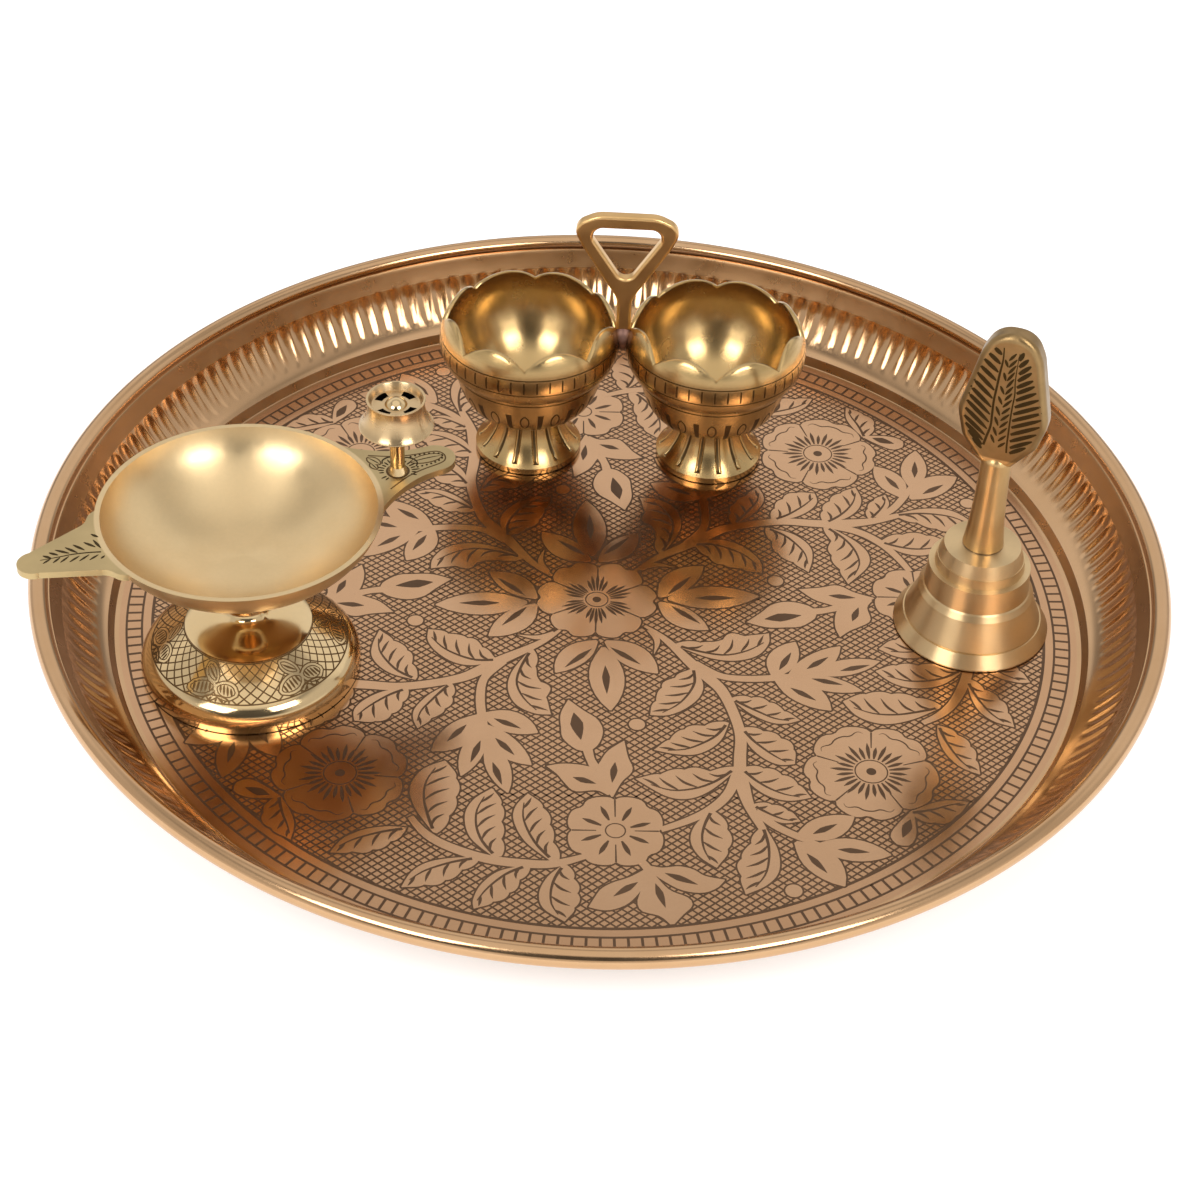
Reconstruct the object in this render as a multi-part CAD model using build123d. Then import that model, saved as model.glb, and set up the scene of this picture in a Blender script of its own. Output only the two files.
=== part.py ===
from build123d import *
import os

# A brass puja thali: a round tray that carries an oil lamp with an incense head, a pair of
# offering cups on one loop handle, and a hand bell. Lengths in millimetres, angles in degrees.
# The origin is under the middle of the tray, with +X to the right, +Y away and +Z up.

# Tray, spun from sheet
tray_radius = 152.5
tray_height = 24.6
sheet = 1.0
riser_run = 1.6
riser_rise = 2.6
shelf_run = 3.2
shelf_rise = 2.0
flute_run = 7.5
lip_run = 2.7
lip_rise = 5.2
rim_run = 5.5
rim_rise = 3.0
rim_roll_radius = 2.2
bend_radius = 0.9

# Room between pieces
stand_gap = 0.3
fit_gap = 0.05
overrun = 1.0

# Oil lamp: foot, stem, dish and what clamps them
lamp_place_shares = (-0.6033, -0.2033)
lamp_turn = 27.5
lamp_foot_radius = 29.0
lamp_foot_lip = 1.2
lamp_foot_height = 13.3
lamp_foot_wall = 2.2
lamp_foot_ring = 2.8
engraved_radius = 25.9
engraved_height = 7.0
lamp_foot_bulge = 0.9
stem_base_radius = 16.6
stem_base_edge = 0.5
stem_neck_radius = 3.5
stem_neck_shares = (0.38, 0.77)
stem_top_radius = 6.0
dish_radius = 36.4
dish_rim_height = 51.0
dish_wall = 1.4
dish_depth = 15.0
dish_floor = 2.0
dish_boss_height = 3.0
dish_lean_share = 0.35
dish_curve_shares = ((0, 1), (0.5, 0.9), (0.85, 0.5), (1, 0))
lamp_stud_radius = 1.9
lamp_stud_grip = 3.5
lamp_stud_tail = 1.0
lamp_nut_flats = 7.0
lamp_nut_height = 3.0
lamp_washer_radius = 5.0
lamp_washer_height = 0.8

# Leaf and tail of the dish, measured from the lamp's axis
plate_thickness = 1.8
leaf_reach = 57.5
leaf_root_half = 14.0
leaf_neck_reach = 37.5
leaf_neck_half = 9.8
leaf_tip_half = 4.2
tail_reach = 59.0
tail_root_half = 16.2
tail_end_half = 5.4
tail_curve_shares = ((0, 1), (0.25, 0.55), (0.6, 0.15), (1, 0))

# Incense head on its riveted post
post_reach = 42.6
post_side = -1.5
post_radius = 1.9
post_foot_radius = 2.6
post_foot_height = 2.0
post_length = 14.7
post_tenon_radius = 1.3
post_peen_radius = 2.4
post_peen_height = 0.8
post_boss_radius = 2.9
post_boss_height = 1.7
head_skirt_radius = 9.7
head_skirt_edge = 0.8
head_height = 8.5
head_waist_radius = 7.5
head_rim_radius = 7.7
head_rim_wall = 0.8
head_disc_radius = 6.1
head_disc_drop = 1.9
head_disc_thickness = 1.6
head_wall = 1.6
head_waist_share = 0.62
stick_hole_radius = 1.25
stick_hole_circle = 4.7
stick_hole_count = 4
stick_hole_turn = 24.5

# Cup stand: two scalloped cups on fluted feet, brazed to one loop handle
cups_place_shares = (0.0239, 0.4587)
cups_turn = -0.96
cup_spacing = 53.5
cup_foot_radius = 15.5
cup_foot_lip = 1.8
cup_foot_height = 13.6
cup_foot_top_radius = 9.2
cup_foot_wall = 1.7
cup_foot_sag = 1.4
cup_groove_count = 14
cup_groove_radius = 0.9
cup_groove_depth = 0.6
cup_groove_end = 0.8
bowl_seat_radius = 8.4
bowl_wall = 1.3
bowl_floor = 1.8
bowl_band_low = 28.5
bowl_band_high = 32.5
bowl_band_low_radius = 22.4
bowl_band_high_radius = 24.9
bowl_band_step = 0.8
bowl_belly_share = 0.32
bowl_belly_radius = 26.0
bowl_crest_height = 46.5
bowl_crest_radius = 22.3
bowl_petal_rise = 4.0
bowl_petal_count = 8
bowl_lower_shares = ((0, 0), (0.5, 0.14), (0.82, 0.45), (1, 1))
rivet_radius = 1.5
rivet_head_radius = 3.0
rivet_head_height = 0.9
loop_rise = 33.6
loop_half_width = 14.4
loop_top_bar = 4.0
loop_side_bar = 2.6
loop_crotch_rise = 11.1
loop_neck_rise = 6.6
loop_neck_half = 2.1
loop_foot_drop = 3.7
loop_thickness = 3.4
loop_inner_corner = 2.8
loop_edge = 0.9
loop_corner_shares = ((0.6, 1), (1.08, 0.87), (0.86, 0.62))
loop_bend_radii = [9.0, 4.0, 10.0, 7.0]
braze_drop = 1.5
braze_top_gap = 2.5
braze_half_width = 3.6

# Hand bell with a leaf handle and a clapper on a hook
bell_place_shares = (0.6682, -0.0216)
bell_mouth_radius = 21.1
bell_lip_height = 3.7
bell_lip_radius = 18.8
bell_groove = 0.4
bell_skirt_height = 11.8
bell_skirt_radius = 15.2
bell_bead_height = 2.3
bell_waist_radius = 14.2
bell_ledge_height = 20.8
bell_ledge_radius = 13.7
bell_collar_radius = 12.1
bell_collar_height = 23.6
bell_collar_step = 0.6
bell_cap_height = 27.3
bell_cap_radius = 10.3
bell_crown_height = 28.0
bell_wall = 2.0
bell_vault_height = 22.5
bell_vault_radius = 8.0
handle_foot_radius = 5.5
handle_middle_radius = 4.4
handle_neck_radius = 4.05
handle_middle_share = 0.186
handle_leaf_share = 0.407
handle_dome = 2.5
handle_top = 95.4
handle_leaf_half = 11.0
handle_corner_shares = ((0.89, 0.18), (1.08, 0.375), (0.72, 0.84), (0.44, 1))
handle_bend_radii = [5.0, 8.0, 12.0, 6.6]
handle_thickness = 6.4
handle_edge = 1.8
handle_turn = -18.0
hanger_radius = 1.7
hanger_grip = 11.0
hanger_collar_radius = 3.0
hanger_collar_height = 0.8
eye_ring_radius = 1.9
eye_wire_radius = 0.65
hook_wire_radius = 0.6
hook_gap = 0.3
clapper_length = 12.3
clapper_rod_radius = 0.9
clapper_ball_radius = 4.2
clapper_nub_radius = 1.6
clapper_nub_height = 0.7

# Places and heights that several pieces share
floor_radius = tray_radius - rim_run - lip_run - flute_run - shelf_run - riser_run
flute_rise = tray_height - rim_rise - lip_rise - shelf_rise - riser_rise - sheet
stand_height = sheet + stand_gap
foot_seat = lamp_foot_height
dish_bottom = dish_rim_height - dish_depth - dish_floor
stem_top_height = dish_bottom - dish_boss_height
bowl_belly_height = bowl_band_high + bowl_belly_share * (bowl_crest_height - bowl_band_high)
bowl_notch_height = bowl_crest_height - bowl_petal_rise
loop_top = bowl_crest_height + loop_rise
loop_crotch_height = bowl_crest_height + loop_crotch_rise
loop_neck_height = bowl_crest_height + loop_neck_rise
loop_foot_height = bowl_crest_height - loop_foot_drop
handle_middle_height = bell_crown_height + handle_middle_share * (handle_top - bell_crown_height)
handle_leaf_low = bell_crown_height + handle_leaf_share * (handle_top - bell_crown_height)
eye_height = bell_vault_height - hanger_collar_height - eye_ring_radius - fit_gap
hinge_height = eye_height - eye_ring_radius


def turned(*lines):
    """Solid turned about Z from the lines of a closed (radius, height) outline."""
    edges = [edge for line in lines for edge in line.edges()]
    return revolve(Plane.XZ * make_face(edges), Axis.Z)


def rod(radius, low, high):
    """Round bar on the Z axis between two heights."""
    return Pos(0, 0, low) * Cylinder(radius, high - low, align=(Align.CENTER, Align.CENTER, Align.MIN))


def spaced(shares, width, height):
    """Points of a curve from pairs of shares of a width and a height."""
    return [(across * width, up * height) for across, up in shares]


def on_tray(place_shares, turn=0):
    """Where an item stands on the tray's floor, from shares of the tray's radius."""
    x, y = [share * tray_radius for share in place_shares]
    return Pos(x, y, stand_height) * Rot(0, 0, turn)


def make_tray_pan():
    """Pan with a flat floor, a step, a plain shelf, a sloping wall and a hollow rolled rim."""
    step = (floor_radius + riser_run, sheet + riser_rise)
    shelf = (step[0] + shelf_run, step[1] + shelf_rise)
    wall = (shelf[0] + flute_run, shelf[1] + flute_rise)
    lip = (wall[0] + lip_run, wall[1] + lip_rise)
    roll = (tray_radius - rim_roll_radius, tray_height - rim_roll_radius)
    upper = FilletPolyline(
        (0, sheet), (floor_radius, sheet), step, shelf, wall, lip, (roll[0], lip[1]), radius=bend_radius
    )
    bent = make_face(offset(upper, sheet, side=Side.RIGHT).edges())
    curl = Pos(*roll) * (Circle(rim_roll_radius) - Circle(rim_roll_radius - sheet))
    inside = Pos(*roll) * Circle(rim_roll_radius - sheet)
    return revolve(Plane.XZ * (bent - inside + curl), Axis.Z)


def make_lamp_foot():
    """Hollow domed foot with a rounded edge and a flat seat for the stem."""
    low_edge = (lamp_foot_radius, lamp_foot_lip)
    shoulder = (engraved_radius, engraved_height)
    seat = (stem_base_radius, foot_seat)
    bore = lamp_stud_radius + fit_gap
    outside = [
        Line((lamp_foot_radius, 0), low_edge),
        SagittaArc(low_edge, shoulder, -lamp_foot_bulge),
        Line(shoulder, seat),
        Line(seat, (bore, foot_seat)),
    ]
    inner_seat = (stem_base_radius - lamp_foot_wall, foot_seat - lamp_foot_wall)
    inner_shoulder = (engraved_radius - lamp_foot_wall, engraved_height - lamp_foot_wall)
    inner_edge = (lamp_foot_radius - lamp_foot_ring, 0)
    inside = Polyline(
        (bore, foot_seat), (bore, inner_seat[1]), inner_seat, inner_shoulder, inner_edge, (lamp_foot_radius, 0)
    )
    return turned(*outside, inside)


def make_lamp_stem():
    """Polished trumpet stem: wide thin base, narrow neck and a small saddle under the dish."""
    bore = lamp_stud_radius + fit_gap
    base = (stem_base_radius, foot_seat + stem_base_edge)
    neck, throat = [
        (stem_neck_radius, foot_seat + share * (stem_top_height - foot_seat)) for share in stem_neck_shares
    ]
    saddle = (stem_top_radius, stem_top_height)
    outside = [
        Line((stem_base_radius, foot_seat), base),
        Spline(base, neck, tangents=((-1, stem_base_edge), (0, 1))),
        Line(neck, throat),
        Spline(throat, saddle, tangents=((0, 1), (1, 1))),
    ]
    inside = Polyline(saddle, (bore, stem_top_height), (bore, foot_seat), (stem_base_radius, foot_seat))
    return turned(*outside, inside)


def dish_section(radius, depth):
    """Half section of the dish's hollow, or of its outside, below the rim."""
    points = spaced(dish_curve_shares, radius, -depth)
    curve = Spline(*points, tangents=((1, 0), (dish_lean_share, 1)))
    return [curve, Line(points[-1], (0, 0)), Line((0, 0), points[0])]


def make_leaf():
    """Leaf plate that starts inside the dish, with its top flush with the rim."""
    shoulder = leaf_reach - leaf_tip_half
    root = (-dish_radius + dish_wall, leaf_root_half)
    neck = (-leaf_neck_reach, leaf_neck_half)
    side = FilletPolyline(
        (0, leaf_root_half), root, neck, (-shoulder, leaf_tip_half), radius=leaf_tip_half
    )
    end = ThreePointArc((-shoulder, leaf_tip_half), (-leaf_reach, 0), (-shoulder, -leaf_tip_half))
    other = mirror(side, Plane.XZ)
    back = Line((0, leaf_root_half), (0, -leaf_root_half))
    return make_face([*side.edges(), end, *other.edges(), back])


def make_tail():
    """Tail plate that narrows in a hollow curve from the rim to a round end."""
    end_start = tail_reach - tail_end_half
    root_reach = (dish_radius**2 - tail_root_half**2) ** 0.5 - dish_wall
    run = end_start - root_reach
    drop = tail_root_half - tail_end_half
    points = [
        (root_reach + along * run, tail_end_half + out * drop) for along, out in tail_curve_shares
    ]
    side = Spline(*points, tangents=((1, -1), (1, 0)))
    end = ThreePointArc(points[-1], (tail_reach, 0), (points[-1][0], -points[-1][1]))
    back = Polyline(points[0], (0, points[0][1]), (0, -points[0][1]), (points[0][0], -points[0][1]))
    return make_face([*side.edges(), end, *mirror(side, Plane.XZ).edges(), *back.edges()])


def make_lamp_dish():
    """Shallow dish with a leaf spout, a tail for the incense post and a boss under it."""
    rim = Pos(0, 0, dish_rim_height)
    outer = rim * turned(*dish_section(dish_radius, dish_depth + dish_floor))
    hollow = rim * turned(*dish_section(dish_radius - dish_wall, dish_depth))
    plates = Pos(0, 0, dish_rim_height - plate_thickness) * extrude(make_leaf() + make_tail(), plate_thickness)
    boss = rod(stem_top_radius, stem_top_height, dish_bottom + dish_floor)
    socket = rod(lamp_stud_radius + fit_gap, stem_top_height, stem_top_height + lamp_stud_grip + fit_gap)
    tenon_hole = Pos(post_reach, post_side, 0) * rod(
        post_tenon_radius + fit_gap, dish_rim_height - plate_thickness - overrun, dish_rim_height + overrun
    )
    return outer + boss + plates - hollow - socket - tenon_hole


def make_lamp_stud():
    """Threaded stud from under the foot up through the stem into the dish."""
    washer_top = foot_seat - lamp_foot_wall
    low = washer_top - lamp_washer_height - lamp_nut_height - lamp_stud_tail
    return rod(lamp_stud_radius, low, stem_top_height + lamp_stud_grip)


def make_lamp_washer():
    """Washer under the top of the foot."""
    high = foot_seat - lamp_foot_wall
    low = high - lamp_washer_height
    return rod(lamp_washer_radius, low, high) - rod(lamp_stud_radius + fit_gap, low, high)


def make_lamp_nut():
    """Hexagon nut that clamps the lamp on its stud."""
    high = foot_seat - lamp_foot_wall - lamp_washer_height
    low = high - lamp_nut_height
    hexagon = RegularPolygon(lamp_nut_flats / 2, side_count=6, major_radius=False)
    return Pos(0, 0, low) * extrude(hexagon, lamp_nut_height) - rod(lamp_stud_radius + fit_gap, low, high)


def make_incense_post():
    """Post whose lower tenon is peened under the tail and whose upper one ends in a round boss."""
    low = dish_rim_height
    high = low + post_length
    plate_low = low - plate_thickness
    foot = plate_low - post_peen_height
    disc_top = high + head_height - head_disc_drop
    crown = disc_top + post_boss_height
    side = Polyline(
        (0, foot), (post_peen_radius, foot), (post_peen_radius, plate_low), (post_tenon_radius, plate_low),
        (post_tenon_radius, low), (post_foot_radius, low), (post_radius, low + post_foot_height),
        (post_radius, high), (post_tenon_radius, high), (post_tenon_radius, disc_top),
        (post_boss_radius, disc_top)
    )
    boss = TangentArc((0, crown), (post_boss_radius, disc_top), tangent=(1, 0))
    return turned(side, boss, Line((0, crown), (0, foot)))


def make_incense_head():
    """Turned head: flared skirt, hollow below, and a recessed disc with stick holes on top."""
    low = dish_rim_height + post_length
    top = low + head_height
    disc = top - head_disc_drop
    bore = post_tenon_radius + fit_gap
    skirt = (head_skirt_radius, low + head_skirt_edge)
    waist = (head_waist_radius, low + head_waist_share * head_height)
    rim = (head_rim_radius, top)
    under = disc - head_disc_thickness
    outside = [
        Line((head_skirt_radius, low), skirt),
        Spline(skirt, waist, rim, tangents=((-1, head_waist_share), (0, 1))),
    ]
    inside = Polyline(
        rim, (head_rim_radius - head_rim_wall, top), (head_disc_radius, disc), (bore, disc), (bore, low),
        (post_boss_radius, low), (post_boss_radius, under), (head_waist_radius - head_wall, under),
        (head_skirt_radius - head_wall, low), (head_skirt_radius, low)
    )
    holes = PolarLocations(stick_hole_circle, stick_hole_count, stick_hole_turn)
    drill = rod(stick_hole_radius, under - overrun, disc + overrun)
    return turned(*outside, inside) - [place * drill for place in holes]


def make_cup_foot():
    """Hollow flared foot with grooves down its flare and a flat seat for the bowl."""
    lip = (cup_foot_radius, cup_foot_lip)
    top = (cup_foot_top_radius, cup_foot_height)
    bore = rivet_radius + fit_gap
    flare = SagittaArc(lip, top, cup_foot_sag)
    inner_top = (cup_foot_top_radius - cup_foot_wall, cup_foot_height - cup_foot_wall)
    inner_lip = (cup_foot_radius - cup_foot_wall, cup_foot_lip)
    inside = [
        Polyline(top, (bore, cup_foot_height), (bore, inner_top[1]), inner_top),
        SagittaArc(inner_lip, inner_top, cup_foot_sag),
        Polyline(inner_lip, (inner_lip[0], 0), (cup_foot_radius, 0)),
    ]
    blank = turned(Line((cup_foot_radius, 0), lip), flare, *inside)
    middle = flare.arc_center
    ring = Torus(flare.radius + cup_groove_depth - cup_groove_radius, cup_groove_radius)
    cutter = Pos(middle.X, 0, middle.Y) * Rot(90, 0, 0) * ring
    band = rod(cup_foot_radius, cup_foot_lip + cup_groove_end, cup_foot_height - cup_groove_end)
    groove = cutter & band
    return blank - [Rot(0, 0, turn * 360 / cup_groove_count) * groove for turn in range(cup_groove_count)]


def bowl_lower(grow=0):
    """Points of the lower bowl from its seat up to the raised band, moved out by a gap."""
    run = bowl_band_low_radius - bowl_band_step - bowl_seat_radius
    rise = bowl_band_low - cup_foot_height
    return [
        (bowl_seat_radius + grow + across * run, cup_foot_height + up * rise)
        for across, up in bowl_lower_shares
    ]


def bowl_outside(grow=0):
    """Lines of the bowl's outside from its seat up to the crest, moved out by a gap."""
    lower = bowl_lower(grow)
    band_low = (bowl_band_low_radius + grow, bowl_band_low)
    band_high = (bowl_band_high_radius + grow, bowl_band_high)
    belly = (bowl_belly_radius + grow, bowl_belly_height)
    crest = (bowl_crest_radius + grow, bowl_crest_height)
    return [
        Spline(*lower), Line(lower[-1], band_low), Line(band_low, band_high),
        Spline(band_high, belly, crest),
    ]


def make_cup_bowl():
    """Bowl with a raised band, a round belly and a rim of scalloped petals that lean in."""
    outside = bowl_outside()
    crest = (bowl_crest_radius, bowl_crest_height)
    inner_crest = (bowl_crest_radius - bowl_wall, bowl_crest_height)
    inner_belly = (bowl_belly_radius - bowl_wall, bowl_belly_height)
    lower = bowl_lower()
    inner_band = (lower[-1][0] - bowl_wall, lower[-1][1])
    inner_curve = [(radius - bowl_wall, height + bowl_wall) for radius, height in reversed(lower[1:-1])]
    inner_floor = (bowl_seat_radius - bowl_wall, cup_foot_height + bowl_floor)
    bore = rivet_radius + fit_gap
    inside = [
        Line(crest, inner_crest),
        Spline(inner_crest, inner_belly, inner_band, *inner_curve, inner_floor),
        Polyline(inner_floor, (bore, inner_floor[1]), (bore, cup_foot_height), (bowl_seat_radius, cup_foot_height)),
    ]
    return turned(*outside, *inside) - make_scallop_cuts()


def make_scallop_cuts():
    """Wedges above the petals: each leaves a round-topped petal between two notches."""
    sector = 360 / bowl_petal_count
    reach = bowl_belly_radius + overrun
    rise = bowl_crest_height - bowl_notch_height
    notch = Vector(bowl_crest_radius, 0).rotate(Axis.Z, sector / 2)
    arch_radius = (notch.Y**2 + rise**2) / (2 * rise)
    corner = Vector(reach, 0).rotate(Axis.Z, sector / 2)
    wedge = make_face(Polyline((0, 0), (corner.X, corner.Y), (corner.X, -corner.Y), (0, 0)).edges())
    block = Pos(0, 0, bowl_notch_height) * extrude(wedge, rise + overrun)
    arch = Pos(0, 0, bowl_crest_height - arch_radius) * Rot(0, 90, 0) * Cylinder(arch_radius, 2 * reach + overrun)
    petal = block - arch
    return [Rot(0, 0, sector * (turn + 1 / 2)) * petal for turn in range(bowl_petal_count)]


def make_cup_rivet():
    """Rivet through the floor of the bowl and the top of the foot."""
    floor = cup_foot_height + bowl_floor
    under = cup_foot_height - cup_foot_wall
    shank = rod(rivet_radius, under - rivet_head_height, floor)
    heads = rod(rivet_head_radius, floor, floor + rivet_head_height) + rod(
        rivet_head_radius, under - rivet_head_height, under
    )
    return shank + heads


def make_loop_handle():
    """Flat cast loop: a rounded triangle on a short stem that stands between the cups."""
    height = loop_top - loop_neck_height
    corners = [
        (across * loop_half_width, loop_neck_height + up * height) for across, up in loop_corner_shares
    ]
    neck = (loop_neck_half, loop_neck_height)
    foot = (loop_neck_half, loop_foot_height)
    side = FilletPolyline((0, loop_top), *corners, neck, foot, radius=loop_bend_radii)
    base = Line(foot, (-loop_neck_half, loop_foot_height))
    outer = make_face([*side.edges(), *mirror(side, Plane.YZ).edges(), base])
    half = loop_half_width - loop_side_bar
    bar_low = loop_top - loop_top_bar
    gap = make_face(Polyline((-half, bar_low), (half, bar_low), (0, loop_crotch_height), (-half, bar_low)).edges())
    gap = fillet(gap.vertices(), loop_inner_corner)
    loop = Pos(0, loop_thickness / 2, 0) * extrude(Plane.XZ * (outer - gap), loop_thickness)
    return fillet(loop.edges().filter_by(Plane.XZ), loop_edge)


def make_braze(loop):
    """Braze metal in the throat between the bowls, round the foot of the loop's stem."""
    low = bowl_belly_height - braze_drop
    high = bowl_crest_height - braze_top_gap
    middle = (braze_half_width, (low + high) / 2)
    blob = turned(ThreePointArc((0, low), middle, (0, high)), Line((0, high), (0, low)))
    blank = turned(
        *bowl_outside(fit_gap),
        Polyline(
            (bowl_crest_radius + fit_gap, bowl_crest_height), (0, bowl_crest_height), (0, cup_foot_height),
            (bowl_seat_radius + fit_gap, cup_foot_height)
        ),
    )
    blanks = [Pos(side * cup_spacing / 2, 0, 0) * blank for side in (-1, 1)]
    return blob - blanks - loop


def bell_outside():
    """Outline of the bell from the mouth's edge up to the crown: lip, skirt, bead, band, collar, cap."""
    bead_high = bell_skirt_height + bell_bead_height
    return [
        (bell_mouth_radius, 0),
        (bell_mouth_radius, bell_groove),
        (bell_lip_radius, bell_lip_height),
        (bell_lip_radius - bell_groove, bell_lip_height),
        (bell_lip_radius - bell_groove, bell_lip_height + bell_groove),
        (bell_skirt_radius, bell_skirt_height),
        (bell_skirt_radius + bell_groove, bell_skirt_height + bell_groove),
        (bell_waist_radius + bell_groove, bead_high - bell_groove),
        (bell_waist_radius, bead_high),
        (bell_ledge_radius, bell_ledge_height),
        (bell_collar_radius, bell_ledge_height),
        (bell_collar_radius - bell_groove, bell_collar_height),
        (bell_collar_radius - bell_collar_step, bell_collar_height),
        (bell_cap_radius, bell_cap_height),
        (hanger_radius + fit_gap, bell_crown_height),
    ]


def make_bell_body():
    """Turned bell with stepped bands outside and a plain flared hollow inside."""
    outside = Polyline(*bell_outside())
    bore = hanger_radius + fit_gap
    mouth = (bell_mouth_radius - bell_wall, 0)
    lip = (bell_lip_radius - bell_wall, bell_lip_height)
    skirt = (bell_skirt_radius - bell_wall, bell_skirt_height)
    vault = (bell_vault_radius, bell_vault_height)
    inside = [
        Polyline((bell_mouth_radius, 0), mouth, lip),
        Spline(lip, skirt, (bell_collar_radius - bell_wall, bell_ledge_height - bell_wall), vault),
        Polyline(vault, (bore, bell_vault_height), (bore, bell_crown_height)),
    ]
    return turned(outside, *inside)


def make_bell_handle():
    """Slim stem that grows into a flat leaf with a round tip, bored for the hanger's stud."""
    low = bell_crown_height
    dome = handle_leaf_low + handle_dome
    stem = turned(
        Line((0, low), (handle_foot_radius, low)),
        Spline(
            (handle_foot_radius, low), (handle_middle_radius, handle_middle_height),
            (handle_neck_radius, handle_leaf_low),
            tangents=((-handle_foot_radius, handle_middle_height), (0, 1)),
        ),
        Spline((handle_neck_radius, handle_leaf_low), (0, dome), tangents=((0, 1), (-1, 0))),
        Line((0, dome), (0, low)),
    )
    height = handle_top - handle_leaf_low
    root = (handle_neck_radius, handle_leaf_low)
    corners = [
        (across * handle_leaf_half, handle_leaf_low + up * height) for across, up in handle_corner_shares
    ]
    side = FilletPolyline(root, *corners, (0, handle_top), radius=handle_bend_radii)
    base = Line(root, (-handle_neck_radius, handle_leaf_low))
    face = make_face([*side.edges(), *mirror(side, Plane.YZ).edges(), base])
    leaf = Pos(0, handle_thickness / 2, 0) * extrude(Plane.XZ * face, handle_thickness)
    leaf = fillet(leaf.edges().filter_by(Plane.XZ), handle_edge)
    socket = rod(hanger_radius + fit_gap, low, low + hanger_grip + fit_gap)
    return stem + leaf - socket


def make_clapper_hanger():
    """Stud through the crown into the handle, with a collar and an eye below it."""
    collar_low = bell_vault_height - hanger_collar_height
    stud = rod(hanger_radius, collar_low, bell_crown_height + hanger_grip)
    collar = rod(hanger_collar_radius, collar_low, bell_vault_height)
    eye = Pos(0, 0, eye_height) * Rot(90, 0, 0) * Torus(eye_ring_radius, eye_wire_radius)
    return stud + collar + eye


def make_clapper_rod():
    """Rod with a closed hook round the eye's wire and a peened end under the ball."""
    hook_radius = eye_wire_radius + hook_gap + hook_wire_radius
    ball_height = hinge_height - clapper_length
    low = ball_height - clapper_ball_radius - clapper_nub_height
    hook = Pos(0, 0, hinge_height) * Rot(0, 90, 0) * Torus(hook_radius, hook_wire_radius)
    shank = rod(clapper_rod_radius, low, hinge_height - hook_radius)
    nub = rod(clapper_nub_radius, low, low + clapper_nub_height)
    return hook + shank + nub


def make_clapper_ball():
    """Ball on the clapper's rod, flattened where the rod's end is peened."""
    ball_height = hinge_height - clapper_length
    low = ball_height - clapper_ball_radius
    ball = Pos(0, 0, ball_height) * Sphere(clapper_ball_radius)
    bore = rod(clapper_rod_radius + fit_gap, low - overrun, ball_height + clapper_ball_radius + overrun)
    return ball - bore


lamp = on_tray(lamp_place_shares, lamp_turn)
head = lamp * Pos(post_reach, post_side, 0)
stand = on_tray(cups_place_shares, cups_turn)
bell = on_tray(bell_place_shares)
loop_handle = make_loop_handle()
pieces = {
    "tray_pan": make_tray_pan(),
    "diya_foot": lamp * make_lamp_foot(),
    "diya_stem": lamp * make_lamp_stem(),
    "diya_dish": lamp * make_lamp_dish(),
    "diya_stud": lamp * make_lamp_stud(),
    "diya_washer": lamp * make_lamp_washer(),
    "diya_nut": lamp * make_lamp_nut(),
    "incense_post": head * make_incense_post(),
    "incense_head": head * make_incense_head(),
    "loop_handle": stand * loop_handle,
    "braze_fillet": stand * make_braze(loop_handle),
    "bell_body": bell * make_bell_body(),
    "bell_handle": bell * Rot(0, 0, handle_turn) * make_bell_handle(),
    "clapper_hanger": bell * make_clapper_hanger(),
    "clapper_rod": bell * make_clapper_rod(),
    "clapper_ball": bell * make_clapper_ball(),
}
for side, offset_x in (("left", -cup_spacing / 2), ("right", cup_spacing / 2)):
    place = stand * Pos(offset_x, 0, 0)
    pieces[f"{side}_cup_foot"] = place * make_cup_foot()
    pieces[f"{side}_cup_bowl"] = place * make_cup_bowl()
    pieces[f"{side}_cup_rivet"] = place * make_cup_rivet()

os.makedirs("parts", exist_ok=True)
for name, solid in pieces.items():
    export_step(solid, f"parts/{name}.step")
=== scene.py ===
import bpy
import bmesh
import math
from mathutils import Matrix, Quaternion, Vector
from mathutils.bvhtree import BVHTree


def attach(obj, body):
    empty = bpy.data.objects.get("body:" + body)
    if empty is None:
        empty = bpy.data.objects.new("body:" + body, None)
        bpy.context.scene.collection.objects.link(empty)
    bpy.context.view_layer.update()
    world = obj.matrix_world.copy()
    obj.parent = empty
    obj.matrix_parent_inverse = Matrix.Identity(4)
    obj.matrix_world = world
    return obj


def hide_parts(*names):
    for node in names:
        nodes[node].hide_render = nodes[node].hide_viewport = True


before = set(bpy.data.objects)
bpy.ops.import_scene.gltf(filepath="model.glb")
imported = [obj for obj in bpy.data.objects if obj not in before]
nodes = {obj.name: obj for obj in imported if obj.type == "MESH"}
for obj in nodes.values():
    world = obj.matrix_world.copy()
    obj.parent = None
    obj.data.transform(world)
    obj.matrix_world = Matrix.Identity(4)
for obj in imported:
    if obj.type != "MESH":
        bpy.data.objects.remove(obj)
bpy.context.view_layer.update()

# A brass puja thali. Lengths are in millimetres. Those of the shaders' noise and bumps, the camera, the
# studio floor and the lights are in metres.
MM = 0.001
# Top of the tray's floor, and the height at which the loose items stand
FLOOR_TOP, STAND = 1.0, 1.3
# Where the items stand, and how many degrees the lamp and the bell's leaf are turned
LAMP, LAMP_TURN = (-92.0, -31.0), 27.5
HEAD = (-53.524, -12.663)
CUPS = {"left": (-23.1, 70.4), "right": (30.4, 69.5)}
BELL, LEAF_TURN = (101.9, -3.29), -18.0


# Materials

def new_material(name):
    material = bpy.data.materials.new(name)
    material.use_nodes = True
    tree = material.node_tree
    return material, tree, tree.nodes["Principled BSDF"]


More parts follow.
